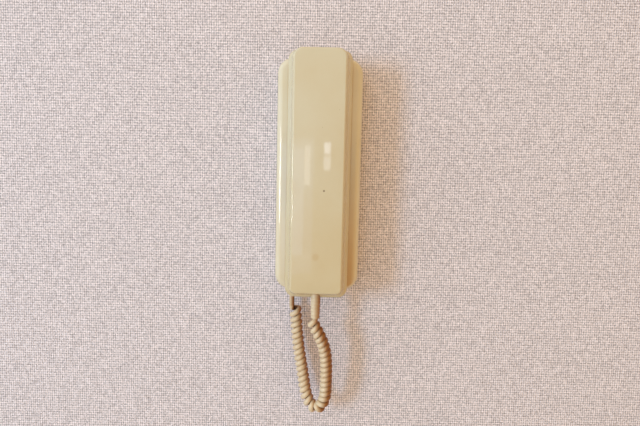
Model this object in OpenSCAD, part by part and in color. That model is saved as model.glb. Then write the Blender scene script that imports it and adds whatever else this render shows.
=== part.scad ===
// Wall-hung handset station: a base that hangs on a wall plate, a slab handset that hangs face-in
// over it, and a curly cord in a loop below.
//
// Millimetres. +Z is up, +X is to the right seen from the front, and +Y points into the wall.
// The wall is the plane Y = 0, and the origin is midway between the two wall screws.
// "Depth" is the distance from the wall, so depth d lies at Y = -d.

/* [Base] */
// Width of the base
base_w = 82; // [80:1:88]
// Height of the base
base_h = 225; // [224:1:232]
// Depth of the base, from the wall to its front face
base_depth = 30; // [29.8:0.1:30.4]
// Radius of the base's corners, seen from the front
base_corner = 15; // [12:1:16]
// Radius of the edge round the base's front face
base_edge = 4.5; // [3:0.5:5]
// Wall thickness of the casings
wall = 2.2; // [1.8:0.1:2.4]
// Distance between the two wall screws, as on a Japanese wall box
screw_spacing = 83.5; // [83.5:0.1:84]

/* [Handset] */
// Width of the handset at the seam between its shells, which is its widest place
seam_w = 59.6; // [58:0.2:62]
// Width of the handset's front face
face_w = 46.6; // [44:0.2:48]
// Length of the handset at the seam
handset_len = 233; // [230:1:236]
// Depth of the handset's front face at its crown
front_depth = 62; // [61:0.5:64]
// Depth of the seam between the outer and inner shells
seam_depth = 40.5; // [40:0.5:41]
// How deep the grip is hollowed on the side that faces the base
grip_hollow = 6; // [4:0.5:6.5]

/* [Cups and pockets] */
// Distance of each cup's centre above or below the middle
cup_offset = 77; // [76:0.5:78]
// Radius of the round bosses that carry the ear cap and the mouth cap
cup_r = 22; // [21:0.5:22]
// Depth at which the caps' faces end, close to the pocket floors
cap_depth = 17.5; // [17.4:0.1:18]
// Radius of the pockets in the base
pocket_r = 24; // [23.5:0.5:24]
// Depth of the pocket floors
pocket_floor = 16; // [15.8:0.1:16]
// Extra height of the pockets, so that the cups can rise as they leave
lift_room = 6.5; // [6:0.5:7]

/* [Moving pieces] */
// Travel of the call button
button_travel = 2; // [1:0.1:2]
// Travel of the tone-volume slider to each side
slider_travel = 4; // [2:0.5:4]
// Radius of the hook lever's pin
hook_pin_r = 1; // [0.8:0.1:1.2]

/* [Cord] */
// Diameter of the cord itself
cord_d = 4.9; // [4:0.1:5]
// Outer diameter of the curly stretch
coil_d = 12; // [11:0.5:13]
// How far the strain relief hangs below the handset
relief_drop = 21; // [18:1:21]

/* [Hidden] */
$fn = 64;
hull_fn = 32;
skin = 0.02;
gap = 0.2;

// Colours
ivory = [0.84, 0.78, 0.63];
ivory_inner = [0.80, 0.73, 0.57];
cord_ivory = [0.82, 0.74, 0.56];
dark_plastic = [0.16, 0.15, 0.14];
steel = [0.70, 0.70, 0.68];
board_brown = [0.62, 0.44, 0.22];
copper = [0.72, 0.42, 0.20];

// Base levels
base_bottom = -base_h / 2;
floor_inner = base_bottom + wall;
plate_t = 1.2;
chassis_d0 = plate_t + gap;
chassis_d1 = chassis_d0 + 2;
board_d0 = 6;
board_d1 = 7.6;
board_half_w = 31;
board_top = -20;
board_bottom = -104;
front_inner = base_depth - wall;
pocket_wall_r = pocket_r + 2;
pocket_back = pocket_floor - 2;

// Places of the small pieces
cable_half_w = 12;
cable_half_h = 16;
lug_x = 20;
lug_z = 70;
tongue_z = -106;
tongue_d = 6.5;
lock_screw_r = 1.45;
button_z = -24;
button_r = 5.6;
speaker_z = 24;
speaker_r = 20;
speaker_front = front_inner - 0.1;
slider_x = 20;
slider_d = 10.6;
slider_half_w = 2.6;
slider_half_slot = slider_half_w + slider_travel + 0.4;
switch_top = 12;
core_x = -15;
core_z = -34;
terminal_pitch = 7;
grommet_x = -24.4;
grommet_d = 13;
grommet_r = 4.1;
// Capacitors that stand on the board: X, Z, radius, height
capacitor_list = [
    [15, -32, 5, 13], [26, -34, 4, 11], [26, -44, 3, 8], [-26, -60, 2.5, 5.6], [26, -66, 2.5, 5.6]
];
board_screw_places = [[-27, -26], [27, -26], [-27, -88], [27, -88]];

// Hook lever
hook_z = 46;
hook_d = 8.5;
nub_z = 61;
nub_half = 2.5;
nub_tip = cap_depth - 0.3;
ear_in = 3.2;
ear_t = 2;
spring_side_x = 7;
spring_r = 2;
spring_turns = 4;
spring_x0 = 3.7;
spring_x1 = 6.5;

// Handset levels
handset_screw_z = 44;
grip_r = (50 * 50 + grip_hollow * grip_hollow) / (2 * grip_hollow);
inner_face = base_depth + 1.2;
grip_axis_d = inner_face + grip_hollow - grip_r;
capsule_d0 = cap_depth + 2.5;
relief_d = 41;
relief_r = 4.7;
relief_end_r = 4.1;
relief_end_z = -handset_len / 2 - relief_drop;

// One row per level of the outer shell: depth, half width, top, bottom, top and bottom corner radius
seam_row = [seam_depth, seam_w / 2, handset_len / 2, -handset_len / 2, 9, 9];
waist_row = [46, face_w / 2 + 3.5, handset_len / 2 - 0.9, -handset_len / 2 + 3.6, 8.8, 7.5];
brow_row = [front_depth - 2, face_w / 2 + 0.7, handset_len / 2 - 1.9, -handset_len / 2 + 7.8, 8.4, 5];
edge_row = [front_depth - 1.2, face_w / 2, handset_len / 2 - 2.6, -handset_len / 2 + 8.5, 8, 4.4];
crown_row = [front_depth - 0.4, face_w / 2 - 8, handset_len / 2 - 9, -handset_len / 2 + 17, 6.5, 5.5];
top_row = [front_depth - skin, face_w / 2 - 17, handset_len / 2 - 28, -handset_len / 2 + 34, 6, 6];
back_row = [inner_face, seam_w / 2 - 1.2, handset_len / 2 - 1.5, -handset_len / 2 + 1.5, 8.5, 8.5];

// Cord route: X, depth and Z of the centreline, from the grommet to the sleeve on the handset
base_tail_route = [[-24.4, 13, -114], [-24.4, 13, -124], [-24.4, 13, -134]];
coil_route = [
    [-20.6, 13, -134], [-20.6, 13, -139], [-19.5, 13.2, -149.4], [-18.6, 14.1, -158.6],
    [-16.7, 15.6, -173.9], [-14.1, 17.1, -189.1], [-11.4, 18.6, -204.4], [-9.5, 19.9, -215.4],
    [-7.5, 21.6, -223.1], [-4.6, 23.2, -229.2], [-0.9, 24.8, -232.9], [3, 25.9, -233.5],
    [6.9, 27, -231.4], [9.8, 28.2, -226.5], [11.5, 29.2, -219.6], [12, 30.5, -209.1],
    [12.1, 32.2, -194.9], [11.5, 33.8, -181.9], [10.2, 35, -172.3], [7.8, 36.2, -163.8],
    [4.7, 37.2, -156.4], [1.6, 37.5, -150.4], [-0.8, 37.8, -145.5], [-1.9, 38, -142],
    [-1.9, 38, -139.5]
];
handset_tail_route = [[0, 41, -139.5], [0, 41, -138.5], [0, 41, relief_end_z]];

// ---- Shapes used by many pieces -------------------------------------------------------------

// An outline drawn in the front view, given thickness between two depths
module slab(d0, d1) {
    translate([0, -d0, 0]) rotate([90, 0, 0]) linear_extrude(d1 - d0) children();
}

// A round bar that points out of the wall
module rod(x, z, d0, d1, r) {
    translate([x, -d0, z]) rotate([90, 0, 0]) cylinder(r = r, h = d1 - d0);
}

// A round bar that stands upright
module upright(x, d, z0, z1, r) {
    translate([x, -d, z0]) cylinder(r = r, h = z1 - z0);
}

// A round bar that lies across the object
module crossbar(x0, x1, d, z, r) {
    translate([x0, -d, z]) rotate([0, 90, 0]) cylinder(r = r, h = x1 - x0);
}

// A box between two corners, each given as X, depth and Z
module block(low, high) {
    translate([low[0], -high[1], low[2]])
        cube([high[0] - low[0], high[1] - low[1], high[2] - low[2]]);
}

// A flat rectangle with round corners
module round_rect(w, h, r) {
    square([w - 2 * r, h], center = true);
    square([w, h - 2 * r], center = true);
    for (sx = [-1, 1], sz = [-1, 1])
        translate([sx * (w / 2 - r), sz * (h / 2 - r)]) circle(r);
}

// A circle stretched upwards, the outline of a pocket
module tall_circle(r, rise) {
    circle(r);
    translate([0, rise]) circle(r);
    translate([-r, 0]) square([2 * r, rise]);
}

// A ring around an axis that points out of the wall
module ring(x, z, d0, d1, r_out, r_in) {
    difference() {
        rod(x, z, d0, d1, r_out);
        rod(x, z, d0 - 1, d1 + 1, r_in);
    }
}

// A screw whose shank points out of the wall and whose head is at the lesser or the greater depth
module case_screw(x, z, head_d, tip_d, head_r, shank_r, head_t) {
    out = sign(tip_d - head_d);
    difference() {
        union() {
            rod(x, z, min(head_d, tip_d), max(head_d, tip_d), shank_r);
            rod(x, z, min(head_d, head_d + out * head_t), max(head_d, head_d + out * head_t), head_r);
        }
        for (turn = [0, 90])
            translate([x, -head_d, z]) rotate([0, turn, 0])
                cube([head_r * 1.1, head_t, 0.7], center = true);
    }
}

// ---- Tubes swept along a route ---------------------------------------------------------------

function unit(v) = v / norm(v);
function to_row(p) = [p[0], -p[1], p[2]];
function way(path, i) =
    unit(path[min(i + 1, len(path) - 1)] - path[max(i - 1, 0)]);
function level(n, t) = unit(n - (n * t) * t);
function normals(path, start) = [
    for (i = 0, n = level(start, way(path, 0));
         i < len(path);
         i = i + 1, n = i < len(path) ? level(n, way(path, i)) : n) n
];

// A tube of one radius along a list of points, closed at both ends
module tube(path, r, sides, start = [0, 1, 0.01]) {
    side_ways = normals(path, start);
    count = len(path);
    points = [
        for (i = [0:count - 1], k = [0:sides - 1])
            let (n = side_ways[i], b = cross(way(path, i), n), a = 360 * k / sides)
                path[i] + r * (cos(a) * n + sin(a) * b)
    ];
    faces = concat(
        [[for (k = [0:sides - 1]) k]],
        [[for (k = [sides - 1:-1:0]) (count - 1) * sides + k]],
        [
            for (i = [0:count - 2], k = [0:sides - 1])
                [i * sides + k, (i + 1) * sides + k,
                 (i + 1) * sides + (k + 1) % sides, i * sides + (k + 1) % sides]
        ]
    );
    polyhedron(points, faces, convexity = 6);
}

// ---- Base ------------------------------------------------------------------------------------

// One corner of the base: a post whose outer end is rounded
module base_post(r, edge, depth) {
    steps = 6;
    rotate([90, 0, 0]) rotate_extrude($fn = hull_fn) polygon(concat(
        [[0, 0], [r, 0]],
        [for (i = [0:steps]) let (a = 90 * i / steps) [r - edge + edge * cos(a), depth - edge + edge * sin(a)]],
        [[0, depth]]
    ));
}

// The rounded block of the base, made smaller all round by an inset, reaching back past the wall by a margin
module base_block(inset, margin) {
    r = base_corner - inset;
    half_w = base_w / 2 - inset - r;
    half_h = base_h / 2 - inset - r;
    translate([0, margin, 0]) hull()
        for (sx = [-1, 1], sz = [-1, 1])
            translate([sx * half_w, 0, sz * half_h])
                base_post(r, base_edge - inset, base_depth - inset + margin);
}

module pocket(zc, r, d0, d1) {
    slab(d0, d1) translate([0, zc]) tall_circle(r, lift_room);
}

// Sound slots that follow a circle
module grille_slots(zc, r) {
    slots = 7;
    pitch = 2 * r / (slots + 1);
    for (i = [1:slots])
        let (dz = -r + i * pitch, half = sqrt(r * r - dz * dz) - 1)
            block([-half, front_inner - 1, zc + dz - 0.8], [half, base_depth + 1, zc + dz + 0.8]);
}

module base_cover() {
    color(ivory) difference() {
        union() {
            difference() {
                base_block(0, 0);
                base_block(wall, 1);
            }
            // Guide for the call button's stem
            ring(0, button_z, front_inner - 8, front_inner + 0.5, button_r + 3.2, button_r + 1.8);
            // Stop that keeps the speaker in place
            for (sx = [-1, 1])
                block([sx * 21.5 - 1, front_inner - 6, speaker_z - 6],
                      [sx * 21.5 + 1, front_inner + 0.5, speaker_z + 6]);
        }
        for (zc = [-cup_offset, cup_offset])
            pocket(zc, pocket_r, front_inner - 1, base_depth + 1);
        grille_slots(speaker_z, 15);
        rod(0, button_z, front_inner - 1, base_depth + 1, button_r + 0.4);
        // Floor of the base: grommet, lock screw and slider
        upright(grommet_x, grommet_d, base_bottom - 1, floor_inner + 1, grommet_r + 0.1);
        upright(0, tongue_d, base_bottom - 1, floor_inner + 1, 2);
        block([slider_x - slider_half_slot, slider_d - 1.9, base_bottom - 1],
              [slider_x + slider_half_slot, slider_d + 1.9, floor_inner + 1]);
    }
}

// A tub set behind the cover's front, open at the front, that takes one cup of the handset
module pocket_tub(zc) {
    color(ivory_inner) difference() {
        intersection() {
            pocket(zc, pocket_wall_r, pocket_back, front_inner);
            base_block(wall, 1);
        }
        pocket(zc, pocket_r, pocket_floor, front_inner + 1);
        children();
    }
}

module ear_pocket() {
    pocket_tub(cup_offset)
        block([-3.4, pocket_back - 1, nub_z - 5.8], [3.4, pocket_floor + 1, nub_z + 3.4]);
}

module mouth_pocket() {
    pocket_tub(-cup_offset);
}

module wall_plate() {
    color(steel) difference() {
        union() {
            difference() {
                slab(0, plate_t) round_rect(56, 190, 6);
                slab(-1, plate_t + 1) round_rect(2 * cable_half_w, 2 * cable_half_h, 3);
                for (sx = [-1, 1])
                    slab(-1, plate_t + 1) translate([sx * lug_x, lug_z - 3]) square([9, 5], center = true);
            }
            // Hooks that the base hangs on
            for (sx = [-1, 1]) {
                block([sx * lug_x - 4, 0, lug_z], [sx * lug_x + 4, 5.4, lug_z + 1.2]);
                block([sx * lug_x - 4, 4.2, lug_z + 1.2], [sx * lug_x + 4, 5.4, lug_z + 4.6]);
            }
            // Tongue for the lock screw
            block([-6, 0, tongue_z - 1.2], [6, plate_t, -94]);
            block([-6, 0, tongue_z - 1.2], [6, 11, tongue_z]);
        }
        for (sz = [-1, 1])
            rod(0, sz * screw_spacing / 2, -1, plate_t + 1, 2.2);
        upright(0, tongue_d, tongue_z - 2, tongue_z + 1, lock_screw_r + 0.05);
    }
}

module base_chassis() {
    color(dark_plastic) difference() {
        union() {
            slab(chassis_d0, chassis_d1) round_rect(77.2, 220.2, 12.6);
            slab(chassis_d1, 6) difference() {
                round_rect(77.2, 220.2, 12.6);
                round_rect(74.2, 217.2, 11.1);
            }
            for (p = board_screw_places)
                rod(p[0], p[1], chassis_d1, board_d0, 3);
            // Ears for the hook lever's pin
            for (x = [-ear_in - ear_t, spring_side_x])
                block([x, chassis_d1, hook_z - 3], [x + ear_t, hook_d + 2.8, hook_z + 3]);
        }
        slab(0, 5) round_rect(2 * cable_half_w, 2 * cable_half_h, 3);
        for (sz = [-1, 1])
            rod(0, sz * screw_spacing / 2, 0, 5, 6);
        for (sx = [-1, 1])
            slab(0, 5) translate([sx * lug_x, lug_z + 2.3]) square([10, 10], center = true);
        for (p = board_screw_places)
            rod(p[0], p[1], chassis_d0 - 1, board_d0 + 1, 1.2);
        crossbar(-20, 20, hook_d, hook_z, hook_pin_r + 0.02);
        // Notch for the wall plate's tongue
        block([-7.5, 0, -120], [7.5, 8, -103]);
        // Clearances for the grommet and the slider
        block([-31, 5, -120], [-18, 8, -104]);
        block([slider_x - 8, 5, -120], [slider_x + 8, 8, -104]);
    }
}

module cover_screw() {
    color(steel) difference() {
        union() {
            upright(0, tongue_d, base_bottom, board_bottom - 0.7, lock_screw_r);
            upright(0, tongue_d, base_bottom - 1.8, base_bottom, 3.2);
        }
        for (turn = [0, 90])
            translate([0, -tongue_d, base_bottom - 1.8]) rotate([0, 0, turn])
                cube([4, 0.8, 1.8], center = true);
    }
}

module circuit_board() {
    color(board_brown) difference() {
        block([-board_half_w, board_d0, board_bottom], [board_half_w, board_d1, board_top]);
        for (p = board_screw_places)
            rod(p[0], p[1], board_d0 - 1, board_d1 + 1, 1.3);
    }
}

module board_screws() {
    color(steel)
        for (p = board_screw_places)
            case_screw(p[0], p[1], board_d1 + 1.6, chassis_d1 + 0.2, 2.6, 1.15, 1.6);
}

module transformer_core() {
    color([0.30, 0.29, 0.28]) difference() {
        block([core_x - 12, 10, core_z - 10], [core_x + 12, 18, core_z + 10]);
        for (sx = [-1, 1])
            block([core_x + sx * 6 - 2.5, 9, core_z - 7], [core_x + sx * 6 + 2.5, 19, core_z + 7]);
    }
}

module transformer_winding() {
    color(copper) difference() {
        block([core_x - 8.3, board_d1, core_z - 6.8], [core_x + 8.3, 19.6, core_z + 6.8]);
        block([core_x - 3.7, 9.8, core_z - 8], [core_x + 3.7, 18.2, core_z + 8]);
    }
}

module capacitors() {
    color([0.10, 0.14, 0.32])
        for (c = capacitor_list) {
            rod(c[0], c[1], board_d1, board_d1 + 0.8, c[2] * 0.8);
            rod(c[0], c[1], board_d1 + 0.8, board_d1 + c[3], c[2]);
        }
}

module resistors() {
    color([0.78, 0.66, 0.46])
        for (i = [0:5]) {
            x = 6 + 3.6 * i;
            upright(x, board_d1 + 1.3, -83, -76.5, 1.2);
            for (z = [-84.5, -75.4])
                rod(x, z, board_d1, board_d1 + 1.5, 0.3);
            upright(x, board_d1 + 1.3, -84.6, -75.3, 0.3);
        }
}

module signal_chip() {
    legs = 8;
    color(dark_plastic) {
        block([-18.5, board_d1 + 0.8, -73.2], [0.5, board_d1 + 4, -66.8]);
        for (i = [0:legs - 1], z = [-74, -66.4])
            block([-18.3 + 2.54 * i + 0.2, board_d1, z], [-17.7 + 2.54 * i + 0.2, board_d1 + 2.4, z + 0.4]);
        for (i = [0:legs - 1], z = [-73.7, -66.8])
            block([-18.3 + 2.54 * i + 0.2, board_d1 + 2, z], [-17.7 + 2.54 * i + 0.2, board_d1 + 2.4, z + 0.5]);
    }
}

module terminal_block() {
    color([0.88, 0.87, 0.82]) difference() {
        block([14, chassis_d1, -14.5], [30, 13, 14.5]);
        for (i = [-1.5:1:1.5]) {
            rod(24, i * terminal_pitch, 6, 14, 2.4);
            crossbar(13, 20, 7, i * terminal_pitch, 1.7);
        }
    }
}

module terminal_screws() {
    color(steel)
        for (i = [-1.5:1:1.5])
            difference() {
                rod(24, i * terminal_pitch, 6.1, 10, 2.3);
                block([21, 9.2, i * terminal_pitch - 0.35], [27, 11, i * terminal_pitch + 0.35]);
            }
}

// ---- Call-tone speaker -----------------------------------------------------------------------

module speaker_turned(profile) {
    translate([0, 0, speaker_z]) rotate([90, 0, 0]) rotate_extrude() polygon(profile);
}

module speaker_frame() {
    color([0.62, 0.62, 0.60]) speaker_turned([
        [17.2, speaker_front], [speaker_r, speaker_front], [speaker_r, speaker_front - 1.4],
        [18.6, speaker_front - 1.4], [12, 18], [12, 17], [6.2, 17], [6.2, 18], [11, 18],
        [17.2, speaker_front - 1.4]
    ]);
}

module speaker_cone() {
    color([0.20, 0.19, 0.18]) speaker_turned([
        [0, 20.6], [6, 19.6], [17, speaker_front - 0.4], [17, speaker_front - 1], [6, 18.8], [0, 19.8]
    ]);
}

module speaker_magnet() {
    color([0.25, 0.25, 0.26]) {
        rod(0, speaker_z, 11, 12.4, 9);
        rod(0, speaker_z, 12.4, 17, 11);
        rod(0, speaker_z, 17, 18.6, 5.8);
    }
}

// ---- Hook switch ------------------------------------------------------------------------------

module hook_lever() {
    color([0.90, 0.88, 0.82]) difference() {
        union() {
            crossbar(-3, 3, hook_d, hook_z, 2.6);
            block([-3, hook_d - 2, hook_z], [3, hook_d + 1, nub_z + nub_half]);
            block([-nub_half, hook_d + 1, nub_z - nub_half], [nub_half, nub_tip, nub_z + nub_half]);
            // Tail that works the switch
            block([-3, hook_d + 0.4, hook_z - 8.6], [3, hook_d + 2.4, hook_z]);
        }
        crossbar(-4, 4, hook_d, hook_z, hook_pin_r + 0.07);
    }
}

module hook_pin() {
    color(steel)
        crossbar(-ear_in - ear_t - 0.4, spring_side_x + ear_t + 0.4, hook_d, hook_z, hook_pin_r);
}

module hook_spring() {
    wire_r = 0.3;
    per_turn = 10;
    steps = spring_turns * per_turn;
    coil = [
        for (i = [0:steps])
            let (a = 360 * i / per_turn, x = spring_x0 + (spring_x1 - spring_x0) * i / steps)
                [x, -hook_d + spring_r * cos(a), hook_z + spring_r * sin(a)]
    ];
    lever_leg = [
        [-1.5, -5.9, nub_z - 6], [2.6, -5.9, nub_z - 6], [spring_x0, -5.9, nub_z - 7],
        [spring_x0, -6.1, hook_z + 3]
    ];
    chassis_leg = [[spring_x1, -5.6, hook_z - 3], [spring_x1, -4, hook_z - 7]];
    color(steel) tube(concat(lever_leg, coil, chassis_leg), wire_r, 6, [0, 0.3, 1]);
}

module hook_switch() {
    color(dark_plastic) {
        block([-10, chassis_d1, 28], [5.4, 6.2, 41]);
        block([-1.5, 6.2, 37], [1.5, 7, 40]);
    }
}

// ---- Call button and tone volume ----------------------------------------------------------------

module call_button() {
    color([0.86, 0.84, 0.78]) {
        rod(0, button_z, front_inner - 0.3, base_depth + 0.4, button_r);
        rod(0, button_z, front_inner - 2, front_inner - 0.3, button_r + 1.4);
        rod(0, button_z, switch_top + button_travel + 0.2, front_inner - 2, 2.2);
    }
}

module button_switch() {
    color(dark_plastic) {
        block([-3, board_d1, button_z - 3], [3, 11, button_z + 3]);
        rod(0, button_z, 11, switch_top, 1.75);
    }
}

module volume_slider() {
    color(dark_plastic) {
        block([slider_x - 1.2, slider_d - 0.9, -110], [slider_x + 1.2, slider_d + 0.9, -102]);
        block([slider_x - slider_half_w, slider_d - 1.6, base_bottom - 0.4],
              [slider_x + slider_half_w, slider_d + 1.6, -110]);
        block([slider_x - slider_half_w, slider_d - 1.6, base_bottom - 3],
              [slider_x + slider_half_w, slider_d + 3, base_bottom - 0.4]);
        for (i = [-1:1])
            block([slider_x + 1.6 * i - 0.4, slider_d + 3, base_bottom - 3],
                  [slider_x + 1.6 * i + 0.4, slider_d + 3.5, base_bottom - 0.4]);
    }
}

module volume_potentiometer() {
    color([0.66, 0.66, 0.64]) difference() {
        block([slider_x - 13, board_d1, -103.8], [slider_x + 11, 13.6, -97]);
        block([slider_x - slider_travel - 1.5, slider_d - 1.2, -105],
              [slider_x + slider_travel + 1.5, slider_d + 1.2, -101.5]);
    }
}

// ---- Grommet and leads ---------------------------------------------------------------------------

module cord_grommet() {
    color([0.72, 0.64, 0.48]) difference() {
        union() {
            upright(grommet_x, grommet_d, floor_inner + 0.6, floor_inner + 2, 5.2);
            upright(grommet_x, grommet_d, base_bottom, floor_inner + 0.6, grommet_r);
            upright(grommet_x, grommet_d, base_bottom - 1.5, base_bottom, 5.6);
        }
        upright(grommet_x, grommet_d, base_bottom - 3, floor_inner + 3, cord_d / 2 + 0.05);
    }
}

module base_leads() {
    color([0.75, 0.20, 0.16])
        for (i = [0:2])
            tube([
                [grommet_x - 2 + 2 * i, -11.5, floor_inner + 2], [grommet_x - 2 + 2 * i, -11.5, -104.5],
                [grommet_x - 2 + 2 * i, -10, -101 + i], [grommet_x - 2 + 2 * i, -8.6, -99 + i]
            ], 0.6, 6, [1, 0, 0.01]);
    color([0.18, 0.30, 0.62])
        for (i = [0:1])
            tube([
                [19 + 4 * i, -8.6, -22.5], [19 + 4 * i, -12, -20], [19 + 4 * i, -14.4, -15],
                [19 + 4 * i, -14.4, -10 + 7 * i]
            ], 0.6, 6, [1, 0, 0.01]);
}

// ---- Handset ------------------------------------------------------------------------------------

// Four thin discs at the corners of one level of the handset
module corner_discs(row, inset) {
    d = row[0] - (row[0] > front_depth - 5 ? inset : 0);
    half_w = row[1] - inset;
    r_top = max(row[4] - inset, 1.5);
    r_bottom = max(row[5] - inset, 1.5);
    for (side = [-1, 1]) {
        rod(side * (half_w - r_top), row[2] - inset - r_top, d, d + skin, r_top, $fn = hull_fn);
        rod(side * (half_w - r_bottom), row[3] + inset + r_bottom, d, d + skin, r_bottom, $fn = hull_fn);
    }
}

// The outer shell's block: a flared skirt at the seam, then drafted walls up to a crowned face
module outer_block(inset) {
    hull() {
        corner_discs(seam_row, inset);
        corner_discs(waist_row, inset);
    }
    hull() {
        corner_discs(waist_row, inset);
        corner_discs(brow_row, inset);
        corner_discs(edge_row, inset);
        corner_discs(crown_row, inset);
        corner_discs(top_row, inset);
    }
}

module relief_hole() {
    upright(0, relief_d, -handset_len / 2 - 3, -handset_len / 2 + 9.5, relief_r + 0.1);
}

module handset_outer_shell() {
    color(ivory) difference() {
        union() {
            difference() {
                outer_block(0);
                outer_block(wall);
                slab(seam_depth - 1, seam_depth + skin)
                    round_rect(seam_w - 2 * wall, handset_len - 2 * wall, 8);
            }
            for (sz = [-1, 1])
                rod(0, sz * handset_screw_z, seam_depth, front_depth - wall, 4.2);
            // Ribs that carry the weight
            for (sx = [-1, 1])
                block([sx * 13.4 - 1, 46, -16], [sx * 13.4 + 1, front_depth - wall, 20]);
        }
        for (sz = [-1, 1])
            rod(0, sz * handset_screw_z, seam_depth - 1, 54, 1.5);
        relief_hole();
    }
}

// Wide cylinder that hollows the grip
module grip_cutter(r) {
    translate([-50, -grip_axis_d, 0]) rotate([0, 90, 0]) cylinder(r = r, h = 100, $fn = 180);
}

// The inner shell's tray and its two screw posts, before the grip is hollowed
module inner_shell_with_posts() {
    difference() {
        hull() {
            corner_discs(back_row, 0);
            translate([0, skin, 0]) corner_discs(seam_row, 0);
        }
        difference() {
            hull() {
                translate([0, -wall, 0]) corner_discs(back_row, wall);
                translate([0, -1, 0]) corner_discs(seam_row, wall);
            }
            grip_cutter(grip_r + wall);
        }
    }
    for (sz = [-1, 1])
        rod(0, sz * handset_screw_z, inner_face + 0.5, seam_depth, 4.8);
}

module handset_inner_shell() {
    color(ivory) difference() {
        union() {
            difference() {
                inner_shell_with_posts();
                grip_cutter(grip_r);
            }
            for (zc = [-cup_offset, cup_offset])
                rod(0, zc, cap_depth + 2, inner_face + wall, cup_r);
        }
        for (zc = [-cup_offset, cup_offset])
            rod(0, zc, cap_depth, inner_face + wall + 1, cup_r - 2);
        for (sz = [-1, 1]) {
            rod(0, sz * handset_screw_z, inner_face - 1, 34.6, 3.3);
            rod(0, sz * handset_screw_z, 34, seam_depth + 1, 1.7);
        }
        relief_hole();
    }
}

// A cap: a disc with sound holes and a skirt that plugs into its boss
module cap(zc, hole_rings) {
    color(ivory_inner) difference() {
        union() {
            rod(0, zc, cap_depth, cap_depth + 2, cup_r - 0.2);
            ring(0, zc, cap_depth + 1.5, cap_depth + 6.5, cup_r - 2.2, cup_r - 3.8);
        }
        for (ring_row = hole_rings, i = [0:ring_row[1] - 1])
            let (a = 360 * i / ring_row[1])
                rod(ring_row[0] * cos(a), zc + ring_row[0] * sin(a), cap_depth - 1, cap_depth + 3, 1.1);
    }
}

module ear_cap() {
    cap(cup_offset, [[0, 1], [4.5, 6], [9, 12]]);
}

module mouth_cap() {
    cap(-cup_offset, [[0, 1], [5, 6]]);
}

module receiver_capsule() {
    color([0.28, 0.28, 0.30]) {
        rod(0, cup_offset, capsule_d0 + 0.1, capsule_d0 + 7, cup_r - 4);
        rod(0, cup_offset, capsule_d0 + 7, capsule_d0 + 10.5, 12);
    }
    color(copper)
        for (sx = [-1, 1])
            rod(6 * sx, cup_offset, capsule_d0 + 10.5, capsule_d0 + 12, 1.4);
}

module receiver_gasket() {
    color(dark_plastic)
        ring(0, cup_offset, cap_depth + 2, capsule_d0 + 0.1, cup_r - 4, 12);
}

module microphone() {
    color([0.75, 0.75, 0.74])
        rod(0, -cup_offset, cap_depth + 3, cap_depth + 9.4, 4.9);
}

module microphone_boot() {
    color(dark_plastic) difference() {
        rod(0, -cup_offset, cap_depth + 2, cap_depth + 12, 12);
        rod(0, -cup_offset, cap_depth + 1, cap_depth + 3, 3.5);
        rod(0, -cup_offset, cap_depth + 3, cap_depth + 13, 4.95);
    }
}

module handset_weight() {
    color([0.40, 0.40, 0.42])
        block([-12, 46.5, -15], [12, 55.5, 19]);
}

module handset_screws() {
    color(steel)
        for (sz = [-1, 1])
            case_screw(0, sz * handset_screw_z, 32.9, 52, 3, 1.48, 1.6);
}

module strain_relief() {
    rings = 5;
    ring_pitch = (relief_drop - 4) / rings;
    face_z = -handset_len / 2;
    color(cord_ivory) difference() {
        union() {
            upright(0, relief_d, face_z + 7.4, face_z + 9.4, 6);
            upright(0, relief_d, face_z - 0.1, face_z + 7.4, relief_r);
            translate([0, -relief_d, relief_end_z])
                cylinder(r1 = relief_end_r, r2 = relief_r, h = relief_drop - 0.1);
        }
        for (i = [0:rings - 1])
            translate([0, -relief_d, relief_end_z + 1.5 + ring_pitch * i]) difference() {
                cylinder(r = relief_r + 1, h = 0.7);
                translate([0, 0, -1]) cylinder(r = relief_end_r - 0.7, h = 3);
            }
        upright(0, relief_d, relief_end_z - 1, face_z + 10, cord_d / 2 + 0.05);
    }
}

module handset_leads() {
    color([0.75, 0.20, 0.16])
        for (sx = [-1, 1])
            tube([
                [sx * 1.2, -42, -106.9], [sx * 1.2, -42.4, -103], [sx * 2, -43, -98], [sx * 2, -41, -90],
                [sx * 2, -35, -84], [sx * 2, -30.4, -81]
            ], 0.6, 6, [1, 0, 0.01]);
    color([0.18, 0.30, 0.62])
        for (sx = [-1, 1])
            tube([
                [sx * 1.2, -40, -106.9], [sx * 3, -40.4, -103], [sx * 9, -43, -97],
                [sx * 16.5, -44, -80], [sx * 18.4, -44, -40], [sx * 18.4, -44, 30],
                [sx * 17, -42, 56], [sx * 9, -36, 72], [sx * 6, -32.6, 77]
            ], 0.6, 6, [1, 0, 0.01]);
}

// ---- Cord ------------------------------------------------------------------------------------------

module base_cord_tail() {
    color(cord_ivory) tube([for (p = base_tail_route) to_row(p)], cord_d / 2, 8, [1, 0.01, 0]);
}

module curly_cord() {
    color(cord_ivory) tube([for (p = coil_route) to_row(p)], coil_d / 2, 12, [1, 0.01, 0]);
}

module handset_cord_tail() {
    color(cord_ivory) tube([for (p = handset_tail_route) to_row(p)], cord_d / 2, 8, [1, 0.01, 0]);
}

// ---- Assembly --------------------------------------------------------------------------------------

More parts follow.
